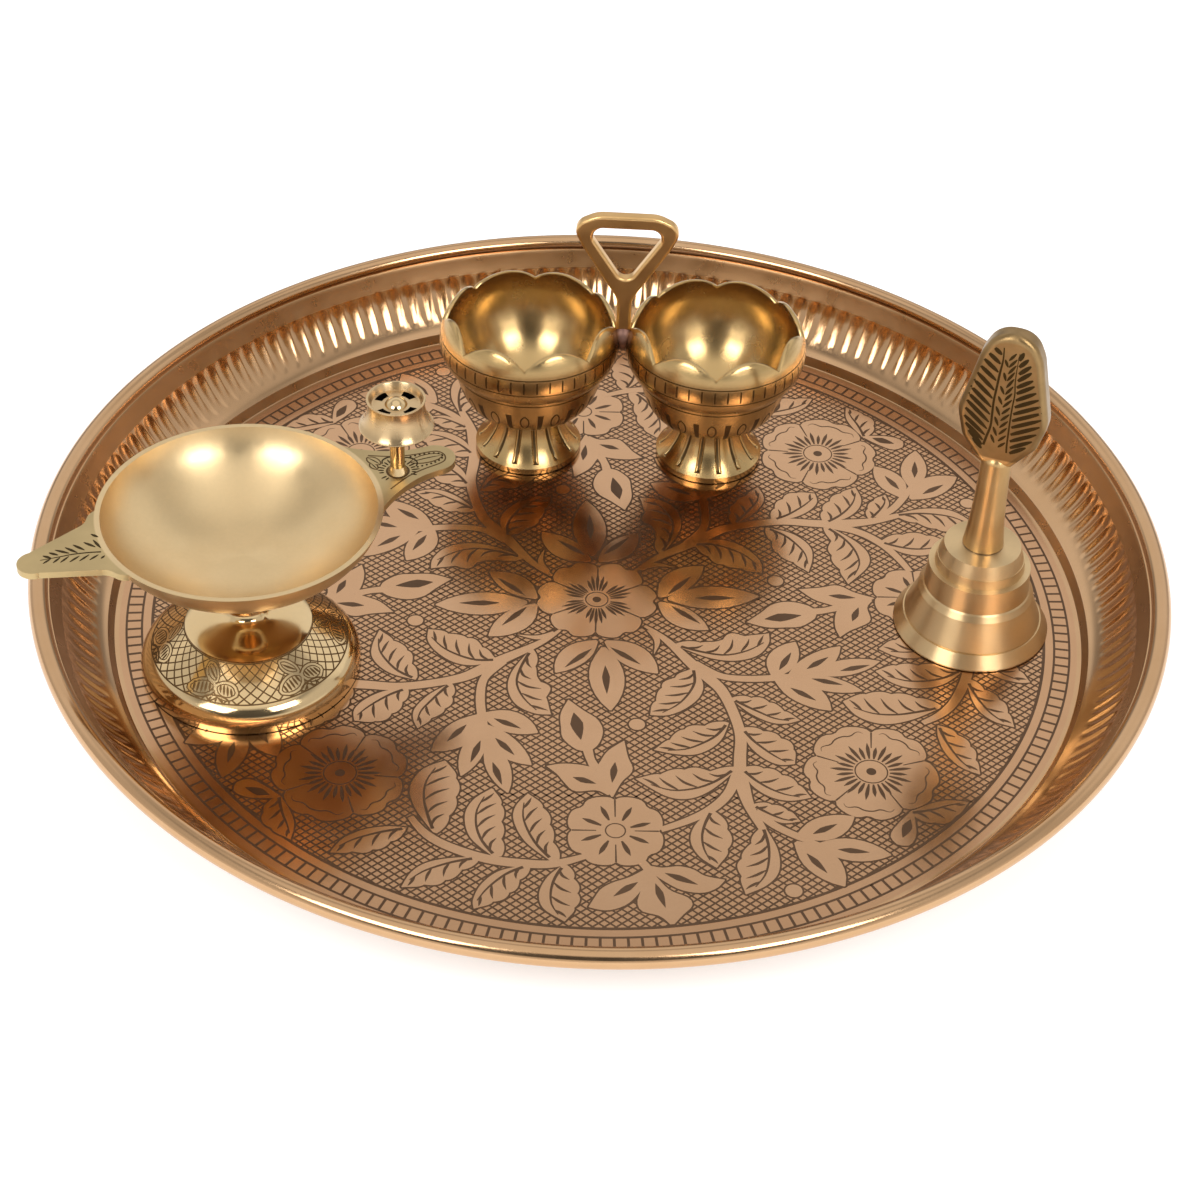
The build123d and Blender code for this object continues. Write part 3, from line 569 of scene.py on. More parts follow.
def quarter():
    # Three leaves under the middle flower, and the bud below them
    plain((-0.3, -17.5), (-11, -31), 7.6, (-1.6, -20.8), (-8.6, -28.8), -0.04)
    plain((2, -17.5), (16.2, -29.7), 8.4, (3.4, -20), (11.6, -26.4), 0.04)
    plain((1.5, -20), (4, -45), 9.4, (2.2, -27.5), (2.9, -38.6), 0, 2.1)
    outlined([(-7.2, -41.5), (-9, -47), (-8.7, -52.5), (-8, -56.5), (-4.5, -60.3), (-1.8, -60.8)],
        [(-7.2, -41.5), (-3, -45.5), (0.6, -48.6), (2.2, -53), (1.2, -58), (-1, -60.8)],
        (-5.6, -46.5), (-3.4, -56.6), 3.4)
    stem([(-1.6, -60), (-0.8, -63.5), (0.8, -67.5)], (2.6, 2.2, 2.6))
    outlined([(7.8, -56.3), (3.8, -60.2), (1.9, -64.2), (0.8, -68), (2.5, -73), (5, -77.2)],
        [(7.8, -56.3), (8.9, -62.5), (10.1, -66), (9.7, -68.4), (7.4, -71.7), (5.4, -77)],
        (5.6, -64.5), (5, -72))
    outlined([(-11.9, -66.9), (-8, -65.8), (-3, -66), (0.6, -67.4), (3, -71.5), (4.6, -76.2)],
        [(-11.9, -66.9), (-9, -69.8), (-7.3, -72.4), (-4.4, -75.6), (1, -75), (4, -76.6)],
        (-5, -70.6), (0.9, -72.6))
    # Round flower with eight strokes, and the three leaves on its stem
    strokes = [(a, 3.9, 9.3, 1.3) for a in (20, 65, 115, 155, 205, 245, 295, 335)]
    flower((6.2, -89), [2, 92, 182, 272], 12.9, strokes, 6, 0.1, 0.16, 2.3, 0.02, False)
    outlined([(14.6, -101), (10, -104.6), (6, -106.6), (3.2, -108.8), (2, -111), (0.3, -114.9)],
        [(14.6, -102.6), (13.6, -107), (11.5, -111.2), (8.8, -114.2), (4.6, -115.9), (0.4, -115.1)],
        (12, -106.2), (6.2, -111.2))
    outlined([(14.3, -101.8), (12.6, -109.6), (12, -113), (13.2, -115.7), (17.4, -117), (20, -119.6)],
        [(15.6, -102.6), (19.6, -108.2), (24.2, -110.6), (25.3, -113.2), (23, -116.4), (21, -119.4)],
        (16.3, -106.4), (18.8, -114.2))
    outlined([(14.5, -100.4), (18, -101), (22, -100.3), (25.6, -101.2), (28.4, -103.2), (33.2, -104.2)],
        [(14.5, -102), (18, -105.2), (22.6, -108.2), (27.6, -108.9), (31.2, -107.2), (33.2, -104.5)],
        (18.6, -102.8), (26.6, -106.2))
    stem([(11, -97.5), (13.4, -100), (15.2, -103)], (2, 2.2, 2.4))
    # The main scroll with its branches
    stem([(12.5, -10.5), (16, -13.5), (20, -18), (25.5, -25.5), (30, -31), (33.5, -36), (36.5, -45),
        (38, -53), (37.7, -61), (37.8, -68), (39.6, -78), (43, -86.5)],
        (0.9, 2, 2.8, 3.6, 3.2, 2.8, 2.8, 3, 3.2, 3.6, 2.6, 2))
    stem([(14, -12), (16, -16.5), (15.2, -22)], (1.9, 1.6, 0.1))
    stem([(26, -25.5), (33, -29.8), (40, -30.5), (48, -29.6), (58, -27.6)], (3.2, 2.2, 2.4, 2.4, 1.2))
    stem([(37.4, -65), (34.6, -74), (30, -80.2), (24, -84.6), (17.5, -88)], (3, 2.6, 2.6, 2.2, 1.8))
    stem([(41.5, -80), (46, -85), (53, -89.2), (58, -91.5)], (2.4, 2.2, 2.2, 1.2))
    serrated([(21, -18.2), (30, -22.6), (37, -23.4), (43, -21), (46.2, -16), (46.4, -11.6)],
        [(21, -17.4), (27, -16.6), (32, -16.6), (36, -13), (41, -13.2), (46.4, -11.6)])
    serrated([(26, -26.5), (28.3, -33), (27.4, -38.4), (23.6, -43.2), (19, -46), (14.4, -46.2)],
        [(25, -27.5), (20.6, -31.5), (17.8, -34.5), (16.6, -39), (15, -43), (14.4, -46)])
    serrated([(35, -48), (33.2, -54), (30.2, -58), (26, -60.5), (21, -60.6), (15.6, -59.4)],
        [(34, -47.6), (28.5, -49.6), (24, -50.8), (21.2, -53.6), (18.6, -56.4), (15.6, -59.2)])
    serrated([(36.6, -65), (34, -69), (29, -74.3), (24, -76.8), (18.6, -76), (11, -70.4)],
        [(36, -64.4), (31, -66.4), (26, -66), (22, -66.6), (17, -68.4), (11, -70.2)])
    serrated([(30, -80.5), (26, -86), (24.9, -91.5), (27, -96.6), (31.2, -100.3)],
        [(31, -80.8), (33.4, -85), (34.4, -89.5), (34, -94), (31.4, -100.2)], 3, 4)
    serrated([(43.2, -85), (46.4, -93), (46.6, -100.5), (43.6, -105.4), (38.4, -108.8)],
        [(42.2, -86), (39.4, -93), (37.2, -98), (37.4, -103), (38.2, -108.7)])
    serrated([(36, -39), (40.6, -44), (46, -47.2), (50, -47.4), (53.6, -46)],
        [(36, -38.2), (41.4, -38), (45.6, -39.4), (49, -42.2), (53.6, -45.8)], 4, 4)
    serrated([(38.6, -50.5), (40, -56), (43.5, -60.6), (47.6, -63), (51.6, -62.6)],
        [(38.8, -49.6), (43.6, -50.6), (48, -52.8), (51.4, -56.6), (51.8, -62.4)], 4, 4)
    serrated([(38.2, -65.5), (40.6, -71), (45, -74.8), (50, -76), (55.4, -74.6)],
        [(38.4, -64.6), (43.4, -64.6), (47.6, -66.4), (51.6, -69.4), (55.4, -74.4)], 4, 4)
    serrated([(40.8, -78.5), (44, -82), (48, -84), (52.4, -83.2)],
        [(41, -77.6), (45, -77.6), (49.4, -79.6), (52.4, -83)], 3, 3, 0.5)
    # Spray of five leaves
    plain((47.2, -29.5), (53.5, -14.8), 8, (48.8, -26.4), (52.2, -19.2), 0.03)
    plain((51, -29.3), (65.6, -15.9), 7.2, (56.2, -25.6), (62.2, -20.4), -0.04)
    plain((57.5, -27.4), (76, -21.3), 6.2, (65.2, -25.8), (73.2, -23))
    plain((52, -28.8), (70.6, -33.5), 6, (57.4, -29.4), (65.6, -31.4))
    plain((47.6, -30.2), (62, -41.6), 8.4, (51.6, -33.4), (58.2, -38), 0.05)
    # Trio of leaves near the edge
    plain((51.5, -88.2), (66, -80.8), 8, (55.4, -87.4), (61.6, -83.6), -0.04)
    plain((56, -91.2), (74.5, -93.6), 7.6, (61.4, -92.4), (69.2, -93))
    plain((51, -90.4), (62.5, -104.8), 8.6, (53.6, -94.2), (58.4, -100.6), 0.04)
    # Large flower of five petals with its bud and leaf
    stamens = [(10 + 360 * i / 26, 4.7, (10.6, 9.2)[i % 2], 1.05) for i in range(26)]
    flower((71.3, -64.2), [19, 87, 160, 229, 299], 17.6, stamens, 11, 0.08, 0.17, 4, 1.3)
    outlined([(81, -77.5), (77.4, -82), (74.8, -86.6), (76, -89.6), (77.6, -90.2)],
        [(81, -77.5), (81.4, -82), (81.2, -86.6), (79.6, -89.8), (77.8, -90.2)],
        (80.2, -81), (77.8, -87.4), 2.6, 12)
    serrated([(80, -78.4), (85, -75.4), (90, -73.6), (95.4, -73.8)],
        [(80.6, -79.4), (85.6, -81.6), (90.4, -80.4), (95.4, -74)], 3, 4, 0.6)
    # Scroll along the edge, with leaves on both sides
    stem([(-45, -87), (-41, -92.4), (-35, -96.6), (-25, -100.4), (-15, -101.5),
        (-8, -101), (0.5, -97.5)],
        (1.6, 2.4, 2.6, 2.8, 2.8, 2.4, 1.6))
    serrated([(-39, -92), (-44, -84), (-46, -76.5), (-43.4, -70), (-38, -66.4)],
        [(-38, -92.4), (-35.4, -86), (-34.2, -79), (-34.8, -72), (-37.6, -66.6)])
    serrated([(-23.6, -99.6), (-29.6, -93.4), (-31.5, -86), (-29.8, -80.2), (-25.4, -75.8)],
        [(-21.6, -99.4), (-22, -93), (-22.4, -86), (-22.8, -81), (-25, -76)])
    serrated([(-9.6, -100.2), (-16, -94), (-19.2, -87), (-19, -81.8), (-16.2, -77.2)],
        [(-7.4, -99.8), (-9.4, -93), (-10.4, -87), (-12.6, -81.2), (-16, -77.2)])
    serrated([(-28, -100), (-34, -100.6), (-39.6, -102.4), (-43.2, -105.8), (-45.2, -110.8)],
        [(-27, -100.8), (-31, -104.4), (-35, -108.2), (-39, -109.6), (-45, -111)], 4, 4)
    serrated([(-15.6, -102), (-22, -104.4), (-26, -109), (-27.6, -114), (-27.3, -117)],
        [(-14.4, -102.6), (-16.8, -107), (-18.6, -110.8), (-22, -114), (-27.1, -117)], 4, 4)
    serrated([(-6.6, -101.6), (-10, -105.6), (-11.8, -111), (-10.6, -116), (-5.4, -120)],
        [(-5.4, -101.4), (-3.6, -106), (-2.6, -110.4), (-3, -115), (-5.2, -119.9)], 4, 4)
    serrated([(-45.6, -90.8), (-50, -90.6), (-56, -92), (-61, -95.5), (-63.6, -100.2)],
        [(-45.8, -91.8), (-49, -95.6), (-53.4, -98.8), (-58, -99.6), (-63.4, -100.4)], 4, 4)
    for centre in ((11, -50), (50, -107)):
        flowers.append((centre, disc(centre, 2.1)))


def on_floor(u, v, h):
    return (u, v, FLOOR_TOP + h)


def turned_floor(times):
    """Chart of the floor, turned by quarters round the middle of the scroll work."""
    if times == 0:
        return on_floor
    c, s = (1, 0, -1, 0)[times], (0, 1, 0, -1)[times]
    x0, y0 = QUARTER_CENTRE

    def surface(u, v, h):
        dx, dy = u - x0, v - y0
        return (x0 + c * dx - s * dy, y0 + s * dx + c * dy, FLOOR_TOP + h)

    return surface


def make_floor():
    heights = (0.004, 0.018, 0.032, 0.046, 0.03)
    hatch, outline, motif, stroke, border = (Plates(-0.02, high) for high in heights)

    def lay(surface):
        for left, right in shapes:
            around = grown([*left, *reversed(right)], OUTLINE)
            outline.strip((around[:len(left)], around[:len(left) - 1:-1]), surface)
            motif.strip((left, right), surface)
        for centre, ring in flowers:
            outline.fan(centre, grown(ring, OUTLINE), surface)
            motif.fan(centre, ring, surface)
        for sides in marks:
            stroke.strip(sides, surface)

    for way in NET_WAYS:
        nx, ny = polar((0, 0), 1, math.radians(way))
        for i in range(-NET_LINES, NET_LINES + 1):
            off = NET_PITCH * i
            half = math.sqrt(NET_EDGE ** 2 - off ** 2)
            ends = [(off * nx - ny * k, off * ny + nx * k) for k in (half, -half)]
            hatch.strip(ribbon(ends, (NET_WIDTH, NET_WIDTH), 2), on_floor)
    quarter()
    for times in range(4):
        lay(turned_floor(times))
    # The middle flower isn't repeated
    for drawn in (shapes, flowers, marks):
        drawn.clear()
    stamens = []
    for i in range(6):
        for j, reach in enumerate((8.6, 10.2, 11.2, 10.2, 8.6)):
            stamens.append((30 + 60 * i + 60 + (j - 2) * 9.5, 3.8, reach, 0.95))
    flower((-0.8, -0.2), [30 + 60 * i for i in range(6)], 16.9, stamens, 9.5, 0.09, 0.2, 2.9, 1.2, False)
    lay(on_floor)
    for radius, width in BORDER_RINGS:
        border.strip(annulus((0, 0), radius + width / 2, radius - width / 2, 360), on_floor)
    for i in range(BORDER_BARS):
        ends = [polar((0, 0), radius, 2 * math.pi * i / BORDER_BARS) for radius, _ in BORDER_RINGS[1:]]
        border.strip(ribbon(ends, (BAR_WIDTH, BAR_WIDTH), 2), on_floor)
    for plates, name, material in (
        (hatch, "floor_etched_net", etch_brass), (outline, "floor_etched_outlines", etch_brass),
        (motif, "floor_scroll_work", motif_brass), (stroke, "floor_etched_strokes", etch_brass),
        (border, "floor_etched_border", etch_brass),
    ):
        plates.build(name, material, "tray", "tray_brass")


make_floor()


# The incense head and the two bowls: turned shells

HEAD_BASE, HEAD_COLUMNS = 67.0, 96
# The middles of the four holes and half their sweep, in degrees, and their depth
HEAD_HOLES, HOLE_HALF, HOLE_DEEP = (-36.0, 54.0, 144.0, 234.0), 21.5, 1.7
# Half section: hollow and lip, flared outside, rim and recessed disc
HEAD_UNDER = [(0.0, 4.6), (6.0, 4.6), (8.7, 0.0), (9.5, 0.0), (9.66, 0.25)]
HEAD_OUTSIDE = [(9.55, 0.55), (8.75, 1.5), (8.05, 2.9), (7.5, 4.6), (7.25, 6.2), (7.35, 7.5), (7.6, 8.3)]
HEAD_TOP = [(7.55, 8.46), (7.35, 8.5), (7.0, 8.46), (6.85, 8.3), (6.45, 7.2), (6.2, 6.68), (5.9, 6.6),
            (5.75, 6.6), (3.75, 6.6), (0.0, 6.6)]


def in_hole(turn):
    return min(abs((turn - hole + 180) % 360 - 180) for hole in HEAD_HOLES) < HOLE_HALF


def make_head():
    """Flared head with a recessed disc and four curved holes round the boss."""
    rows = HEAD_UNDER + smooth(HEAD_OUTSIDE, 22) + HEAD_TOP
    step = 360 / HEAD_COLUMNS
    verts, faces, zones, rings = [], [], [], []
    for r, z in rows:
        rings.append(range(len(verts), len(verts) + HEAD_COLUMNS))
        verts += [(*point, HEAD_BASE + z) for point in disc(HEAD, r, HEAD_COLUMNS)]
    for at, (low, high) in enumerate(zip(rings, rings[1:])):
        for i in range(HEAD_COLUMNS):
            j = (i + 1) % HEAD_COLUMNS
            corners = (low[i], low[j], high[j], high[i])
            turn = (i + 0.5) * step
            # The holes lie in the row between the disc's last two circles
            if at != len(rings) - 3 or not in_hole(turn):
                faces.append(corners)
                zones.append(0)
                continue
            inner = [len(verts) + k for k in range(4)]
            verts += [(verts[c][0], verts[c][1], verts[c][2] - HOLE_DEEP) for c in corners]
            walls = [(0, 1), (2, 3)]
            if not in_hole(turn - step):
                walls.append((3, 0))
            if not in_hole(turn + step):
                walls.append((1, 2))
            faces.append(tuple(inner))
            faces += [(corners[a], corners[b], inner[b], inner[a]) for a, b in walls]
            zones += [1] * (1 + len(walls))
    # The holes' floors and walls take the near-black brass: painted shade
    materials = [head_brass, hole_painted_shade]
    head = put("incense_flared_head", verts, faces, materials, "diya", zones, 30.0)
    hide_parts("incense_head")


# Half section of a bowl: belly, band, leaning wall and inside
BOWL_LOW = [(8.4, 13.6), (15.0, 15.69), (19.3, 20.5), (22.3, 30.5)]
BAND_TOP = 30.62
BOWL_BAND = [(23.1, 30.5), (23.35, BAND_TOP)]
BOWL_HIGH = [(23.35, BAND_TOP), (24.6, 32.3), (25.4, 34.2), (25.9, 36.8), (25.75, 39.8), (24.75, 43.3),
             (22.8, 46.5)]
BOWL_IN = [(21.5, 46.5), (23.4, 43.3), (24.3, 39.8), (24.2, 36.6), (23.2, 33.0), (21.1, 29.0), (18.2, 24.8),
           (14.0, 21.1), (8.5, 18.7), (0.0, 17.6)]
# The rim's petals: number, mesh columns in each, turn in degrees, radius, rise and highest point
PETALS, PETAL_COLUMNS, PETAL_TURN, PETAL_RADIUS, PETAL_RISE, CREST = 8, 26, 21.5, 22.3, 4.0, 46.5
# Rows of a column outside and inside, and the height down to which the inside follows the rim
ROWS_OUT, ROWS_IN, INSIDE_JOIN = 20, 14, 36.0


def radius_at(points, height):
    for (r0, z0), (r1, z1) in zip(points, points[1:]):
        if z0 <= height <= z1:
            return r0 + (r1 - r0) * (height - z0) / max(z1 - z0, 1e-9)
    return points[-1][0]


def make_bowl(side, centre):
    """Bowl with a raised band and a scalloped rim that leans in."""
    count, high = PETALS * PETAL_COLUMNS, smooth(BOWL_HIGH, 60)
    half = PETAL_RADIUS * math.sin(math.pi / PETALS)
    arch = (half ** 2 + PETAL_RISE ** 2) / (2 * PETAL_RISE)
    low = [(0.0, BOWL_LOW[0][1])] + smooth(BOWL_LOW, 20) + BOWL_BAND
    inner = smooth(BOWL_IN, 80)
    inner_high = [p for p in reversed(inner) if p[1] > 34.0]
    inner_low = [p for p in inner if p[1] < 35.3]
    verts, faces = [], []
    for i in range(count):
        turn = 2 * math.pi * i / count
        off = (turn + math.pi / PETALS) % (2 * math.pi / PETALS) - math.pi / PETALS
        top = CREST - arch + math.sqrt(arch ** 2 - (PETAL_RADIUS * math.sin(off)) ** 2)
        outside = [BAND_TOP + (top - 0.35 - BAND_TOP) * k / ROWS_OUT for k in range(1, ROWS_OUT + 1)]
        inside = [top - 0.4 + (INSIDE_JOIN - top + 0.4) * k / ROWS_IN for k in range(ROWS_IN + 1)]
        rim = radius_at(high, top)
        column = low + [(radius_at(high, z), z) for z in outside]
        column += [(rim - 0.25, top - 0.08), (rim - 0.6, top), (rim - 1.0, top - 0.12)]
        column += [(radius_at(inner_high, z), z) for z in inside] + inner_low
        verts += [(*polar(centre, r, turn + math.radians(PETAL_TURN)), STAND + z) for r, z in column]
    size = len(column)
    for i in range(count):
        a, b = i * size, (i + 1) % count * size
        faces += [(a + k, b + k, b + k + 1, a + k + 1) for k in range(size - 1)]
    name, materials = side + "_scalloped_bowl", [cup_brass[side]]
    bowl = put(name, verts, faces, materials, "cup_stand", None, 32.0)
    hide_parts(side + "_cup_bowl")
    return bowl.data


make_head()
bowls = {side: make_bowl(side, centre) for side, centre in CUPS.items()}


# Engraved, carved and punched work on the lamp, the cups and the bell

def cast(mesh):
    """Ray caster on a piece: start and way in millimetres, out comes a lifted point."""
    tree = BVHTree.FromPolygons([v.co for v in mesh.vertices], [p.vertices for p in mesh.polygons])

    def lifted(start, way, h):
        hit, normal, _, _ = tree.ray_cast(Vector(start) * MM, Vector(way))
        if hit is None:
            hit, normal, _, _ = tree.find_nearest((Vector(start) + 20 * Vector(way)) * MM)
        if normal.dot(Vector(way)) > 0:
            normal = -normal
        return tuple(hit / MM + normal * h)

    return lifted


# Rays towards a round piece start this far from its middle
RAY_START = 70.0


def wrapped(mesh, centre, radius, turn=0.0):
    """Chart of a round piece: u runs round it on a given radius, v is the height."""
    lifted = cast(mesh)

    def surface(u, v, h):
        angle = math.radians(turn) + u / radius
        return lifted((*polar(centre, RAY_START, angle), v), (-math.cos(angle), -math.sin(angle), 0), h)

    return surface


def oval(base, tip, width, grow=0.0):
    dx, dy = tip[0] - base[0], tip[1] - base[1]
    size = math.hypot(dx, dy)
    dx, dy = dx / size * grow, dy / size * grow
    ends = [(base[0] - dx, base[1] - dy), (tip[0] + dx, tip[1] + dy)]
    widths = [(width + 2 * grow) * share for share in (0.2, 0.7, 0.92, 1.0, 0.96, 0.75, 0.2)]
    return ribbon(ends, widths, 13)


def tapered(points, width, count=8):
    return ribbon(points, (width * 0.3, width * 0.9, width, width * 0.8, width * 0.15), count)


# The lamp's foot: radius of its chart, and the engraved slope's lower end, rise and length
FOOT_ROUND, SLOPE_LOW, SLOPE_RISE, SLOPE_LENGTH = 21.25, 7.0, 6.3, 11.23
NET_TURNS = 44
# Leaves of one motif on the slope: base, tip, width and strokes across
FOOT_LEAVES = (((-5.7, 2.4), (-0.4, 4.3), 3.3, 5), ((0.9, 4.3), (5.2, 3.1), 3.2, 4),
               ((-0.3, 6.1), (-3.4, 9.6), 2.0, 0))


def make_foot_work():
    """Net, leaves and strokes on the slope of the lamp's foot."""
    round_foot = wrapped(nodes["diya_foot"].data, LAMP, FOOT_ROUND)

    def cone(u, s, h):
        return round_foot(u, STAND + SLOPE_LOW + SLOPE_RISE * s / SLOPE_LENGTH, h)

    net, band, ground, light, stroke = (Plates(-0.03, high) for high in (0.02, 0.035, 0.05, 0.065, 0.08))
    length = 2 * math.pi * FOOT_ROUND
    for i in range(NET_TURNS):
        start = length * i / NET_TURNS
        for way in (1, -1):
            net.strip(ribbon([(start, 0.25), (start + way * 10.7, 10.95)], (0.38, 0.32), 12), cone)
    for low, width in ((0.2, 0.4), (11.0, 0.35)):
        turn = [(length * i / 120, low) for i in range(121)]
        net.strip(ribbon(turn, (width, width), 121), cone)
    for k in range(6):
        at = FOOT_ROUND * math.radians(-106.0 + 60.0 * k)
        for base, tip, width, marks_in in FOOT_LEAVES:
            base, tip = (base[0] + at, base[1]), (tip[0] + at, tip[1])
            for plates, grow in ((net, 1.15), (band, 0.8), (ground, 0.2), (light, -0.1)):
                plates.strip(oval(base, tip, width, grow), cone)
            for i in range(marks_in):
                share = (i + 0.8) / (marks_in + 0.6)
                x, y = base[0] + (tip[0] - base[0]) * share, base[1] + (tip[1] - base[1]) * share
                half = 0.36 * width * (1 - (2 * share - 1) ** 2) ** 0.5 + 0.25
                stroke.strip(tapered([(x - 0.25, y + half), (x + 0.25, y - half)], 0.62, 6), cone)
            if not marks_in:
                stroke.strip(tapered([(base[0], base[1] + 0.3), (tip[0], tip[1] - 0.4)], 0.6, 6), cone)
        angles = [math.radians(a) for a in range(0, 181, 20)]
        arc = [(at + 1.2 + 3.1 * math.cos(a), 0.45 + 1.7 * math.sin(a)) for a in angles]
        ground.strip(ribbon(arc, (0.4, 0.5, 0.4), 16), cone)
        for x in (-0.4, 1.2, 2.8):
            stroke.strip(tapered([(at + x, 0.4), (at + 1.2 + 0.75 * (x - 1.2), 1.6)], 0.5, 6), cone)
    for plates, name, material in (
        (net, "foot_engraved_net", groove_brass), (band, "foot_engraved_rims", lamp_brass),
        (ground, "foot_engraved_lines", groove_brass), (light, "foot_engraved_leaves", lamp_brass),
        (stroke, "foot_engraved_strokes", groove_brass),
    ):
        plates.build(name, material, "diya", "lamp_brass")


# Strokes on the dish's leaf, above and below its rib, as two ends each
LEAF_UP = (
    (-35.9, 3.4, -37.2, 5.2), (-37.4, 2.8, -36.6, -1.0), (-39.8, 2.8, -37.7, -0.1), (-42.5, 2.9, -40.5, -0.2),
    (-44.6, 2.7, -42.4, -0.5), (-47.1, 2.7, -44.3, 0.1), (-48.8, 2.3, -47.0, 0.5), (-50.5, 1.7, -48.9, 0.1),
)
LEAF_LOW = (
    (-37.8, -5.0, -36.6, -4.3), (-40.5, -4.4, -37.9, -3.3), (-42.9, -3.8, -40.0, -2.4),
    (-45.2, -3.2, -42.3, -1.9), (-47.3, -2.5, -44.7, -1.0), (-49.0, -1.9, -46.8, -0.6),
    (-51.3, -1.2, -49.1, -0.2),
)
LEAF_RIB = [(-37.0, -2.5), (-40.0, -1.5), (-43.8, -0.6), (-46.8, -0.3), (-51.6, 0.3)]
# The tail: one side of its line, its leaves (base, tip, width), the dots' curve and the post
TAIL_SIDE = [(38.0, 7.8), (41.0, 6.2), (44.6, 4.5), (49.0, 3.4), (53.6, 2.8), (55.6, 2.0), (56.4, 0.0)]
TAIL_LEAVES = (((47.4, 0.7), (55.6, 0.2), 3.0), ((39.4, 3.2), (37.6, 6.8), 2.2),
               ((38.0, 1.6), (37.4, 4.2), 1.4))
TAIL_DOTS = [(48.0, 2.9), (51.4, 2.6), (55.0, 1.5), (55.6, -0.6), (52.6, -1.9), (48.0, -1.9)]
POST = (42.6, -1.5)
# Strokes round the post stay on the tail, so they keep off the dish's rim
DISH_EDGE = 37.4


def make_dish_work():
    """Strokes on the dish's leaf and the engraving of its tail."""
    lifted = cast(nodes["diya_dish"].data)
    c, s = math.cos(math.radians(LAMP_TURN)), math.sin(math.radians(LAMP_TURN))

    def top(u, v, h):
        return lifted((LAMP[0] + c * u - s * v, LAMP[1] + s * u + c * v, 90.0), (0, 0, -1), h)

    line, light, stroke = Plates(-0.03, 0.02), Plates(-0.03, 0.04), Plates(-0.03, 0.06)
    for x0, y0, x1, y1 in LEAF_UP:
        stroke.strip(ribbon([(x0, y0), (x1, y1)], (0.15, 0.6, 0.75, 0.6, 0.15), 7), top)
    for x0, y0, x1, y1 in LEAF_LOW:
        stroke.strip(ribbon([(x0, y0), (x1, y1)], (0.12, 0.45, 0.55, 0.4, 0.12), 7), top)
    stroke.strip(ribbon(LEAF_RIB, (0.35, 0.3, 0.1), 14), top)
    panel = TAIL_SIDE + [(x, -y) for x, y in reversed(TAIL_SIDE[:-1])]
    line.strip(ribbon(panel, (0.4, 0.4), 60), top)
    for base, tip, width in TAIL_LEAVES:
        line.strip(oval(base, tip, width, 0.4), top)
        light.strip(oval(base, tip, width), top)
        stroke.strip(tapered([base, ((base[0] + tip[0]) / 2, (base[1] + tip[1]) / 2 + 0.2), tip], 0.35), top)
    for dot in smooth(TAIL_DOTS, 15):
        stroke.fan(dot, disc(dot, 0.3, 8), top)
    for i in range(26):
        ends = [polar(POST, r, 2 * math.pi * i / 26) for r in (3.6, (4.9, 5.7, 5.2)[i % 3])]
        if abs(ends[1][1]) < 5.0 and math.hypot(*ends[1]) > DISH_EDGE:
            stroke.strip(tapered(ends, 0.42, 6), top)
    for i in range(6):
        middle = 2 * math.pi * (i + 0.5) / 6
        bends = ((-0.5, 5.2), (-0.3, 6.2), (0.0, 6.5), (0.3, 6.2), (0.5, 5.2))
        arc = [polar(POST, r, middle + a) for a, r in bends]
        if all(abs(y) < 5.2 and math.hypot(x, y) > DISH_EDGE for x, y in arc):
            stroke.strip(ribbon(arc, (0.35, 0.45, 0.35), 12), top)
    line.strip(annulus(POST, 3.1, 2.62, 32), top)
    line.build("tail_engraved_lines", groove_brass, "diya", "lamp_brass")
    light.build("tail_engraved_leaves", dish_brass, "diya", "lamp_brass")
    stroke.build("dish_engraved_strokes", carved_dark, "diya", "lamp_brass")


# The cups: radius of the charts of foot and bowl, their turn in degrees, and marks and dashes round them
CUP_FOOT_ROUND, BOWL_ROUND, CUP_TURN, CUP_MARKS, CUP_DASHES = 15.0, 24.0, -1.0, 14, 44


def make_cup_work(side, centre):
    """Punched marks on a cup's foot and bowl."""
    foot = wrapped(nodes[side + "_cup_foot"].data, centre, CUP_FOOT_ROUND, CUP_TURN)
    bowl = wrapped(bowls[side], centre, BOWL_ROUND, CUP_TURN)
    dark, light = Plates(-0.03, 0.03), Plates(-0.03, 0.05)

    def upright(at, low, high):
        return [(at, STAND + low), (at, STAND + high)]

    for k in range(CUP_MARKS):
        at = 2 * math.pi * CUP_FOOT_ROUND * k / CUP_MARKS
        dark.strip(ribbon(upright(at, 2.2, 12.6), (0.3, 1.0, 1.1, 1.0, 0.3), 12), foot)
        at = 2 * math.pi * BOWL_ROUND * k / CUP_MARKS
        dark.strip(ribbon(upright(at, 17.6, 24.6), (1.5, 2.0), 8), bowl)
        at += math.pi * BOWL_ROUND / CUP_MARKS
        dark.strip(oval(*upright(at, 19.0, 24.0), 2.6, 0.4), bowl)
        light.strip(oval(*upright(at, 19.0, 24.0), 2.6, -0.1), bowl)
    for k in range(CUP_DASHES):
        at = 2 * math.pi * BOWL_ROUND * k / CUP_DASHES
        dark.strip(ribbon(upright(at, 35.8, 39.6), (0.4, 0.5, 0.4), 5), bowl)
    for height, width in ((35.0, 0.35), (40.2, 0.35), (28.6, 0.4)):
        ring = [(2 * math.pi * BOWL_ROUND * i / 96, STAND + height) for i in range(97)]
        dark.strip(ribbon(ring, (width, width), 97), bowl)
    dark.build(side + "_cup_marks", mark_brass, "cup_stand", "cup_brass")
    light.build(side + "_cup_ovals", cup_brass[side], "cup_stand", "cup_brass")


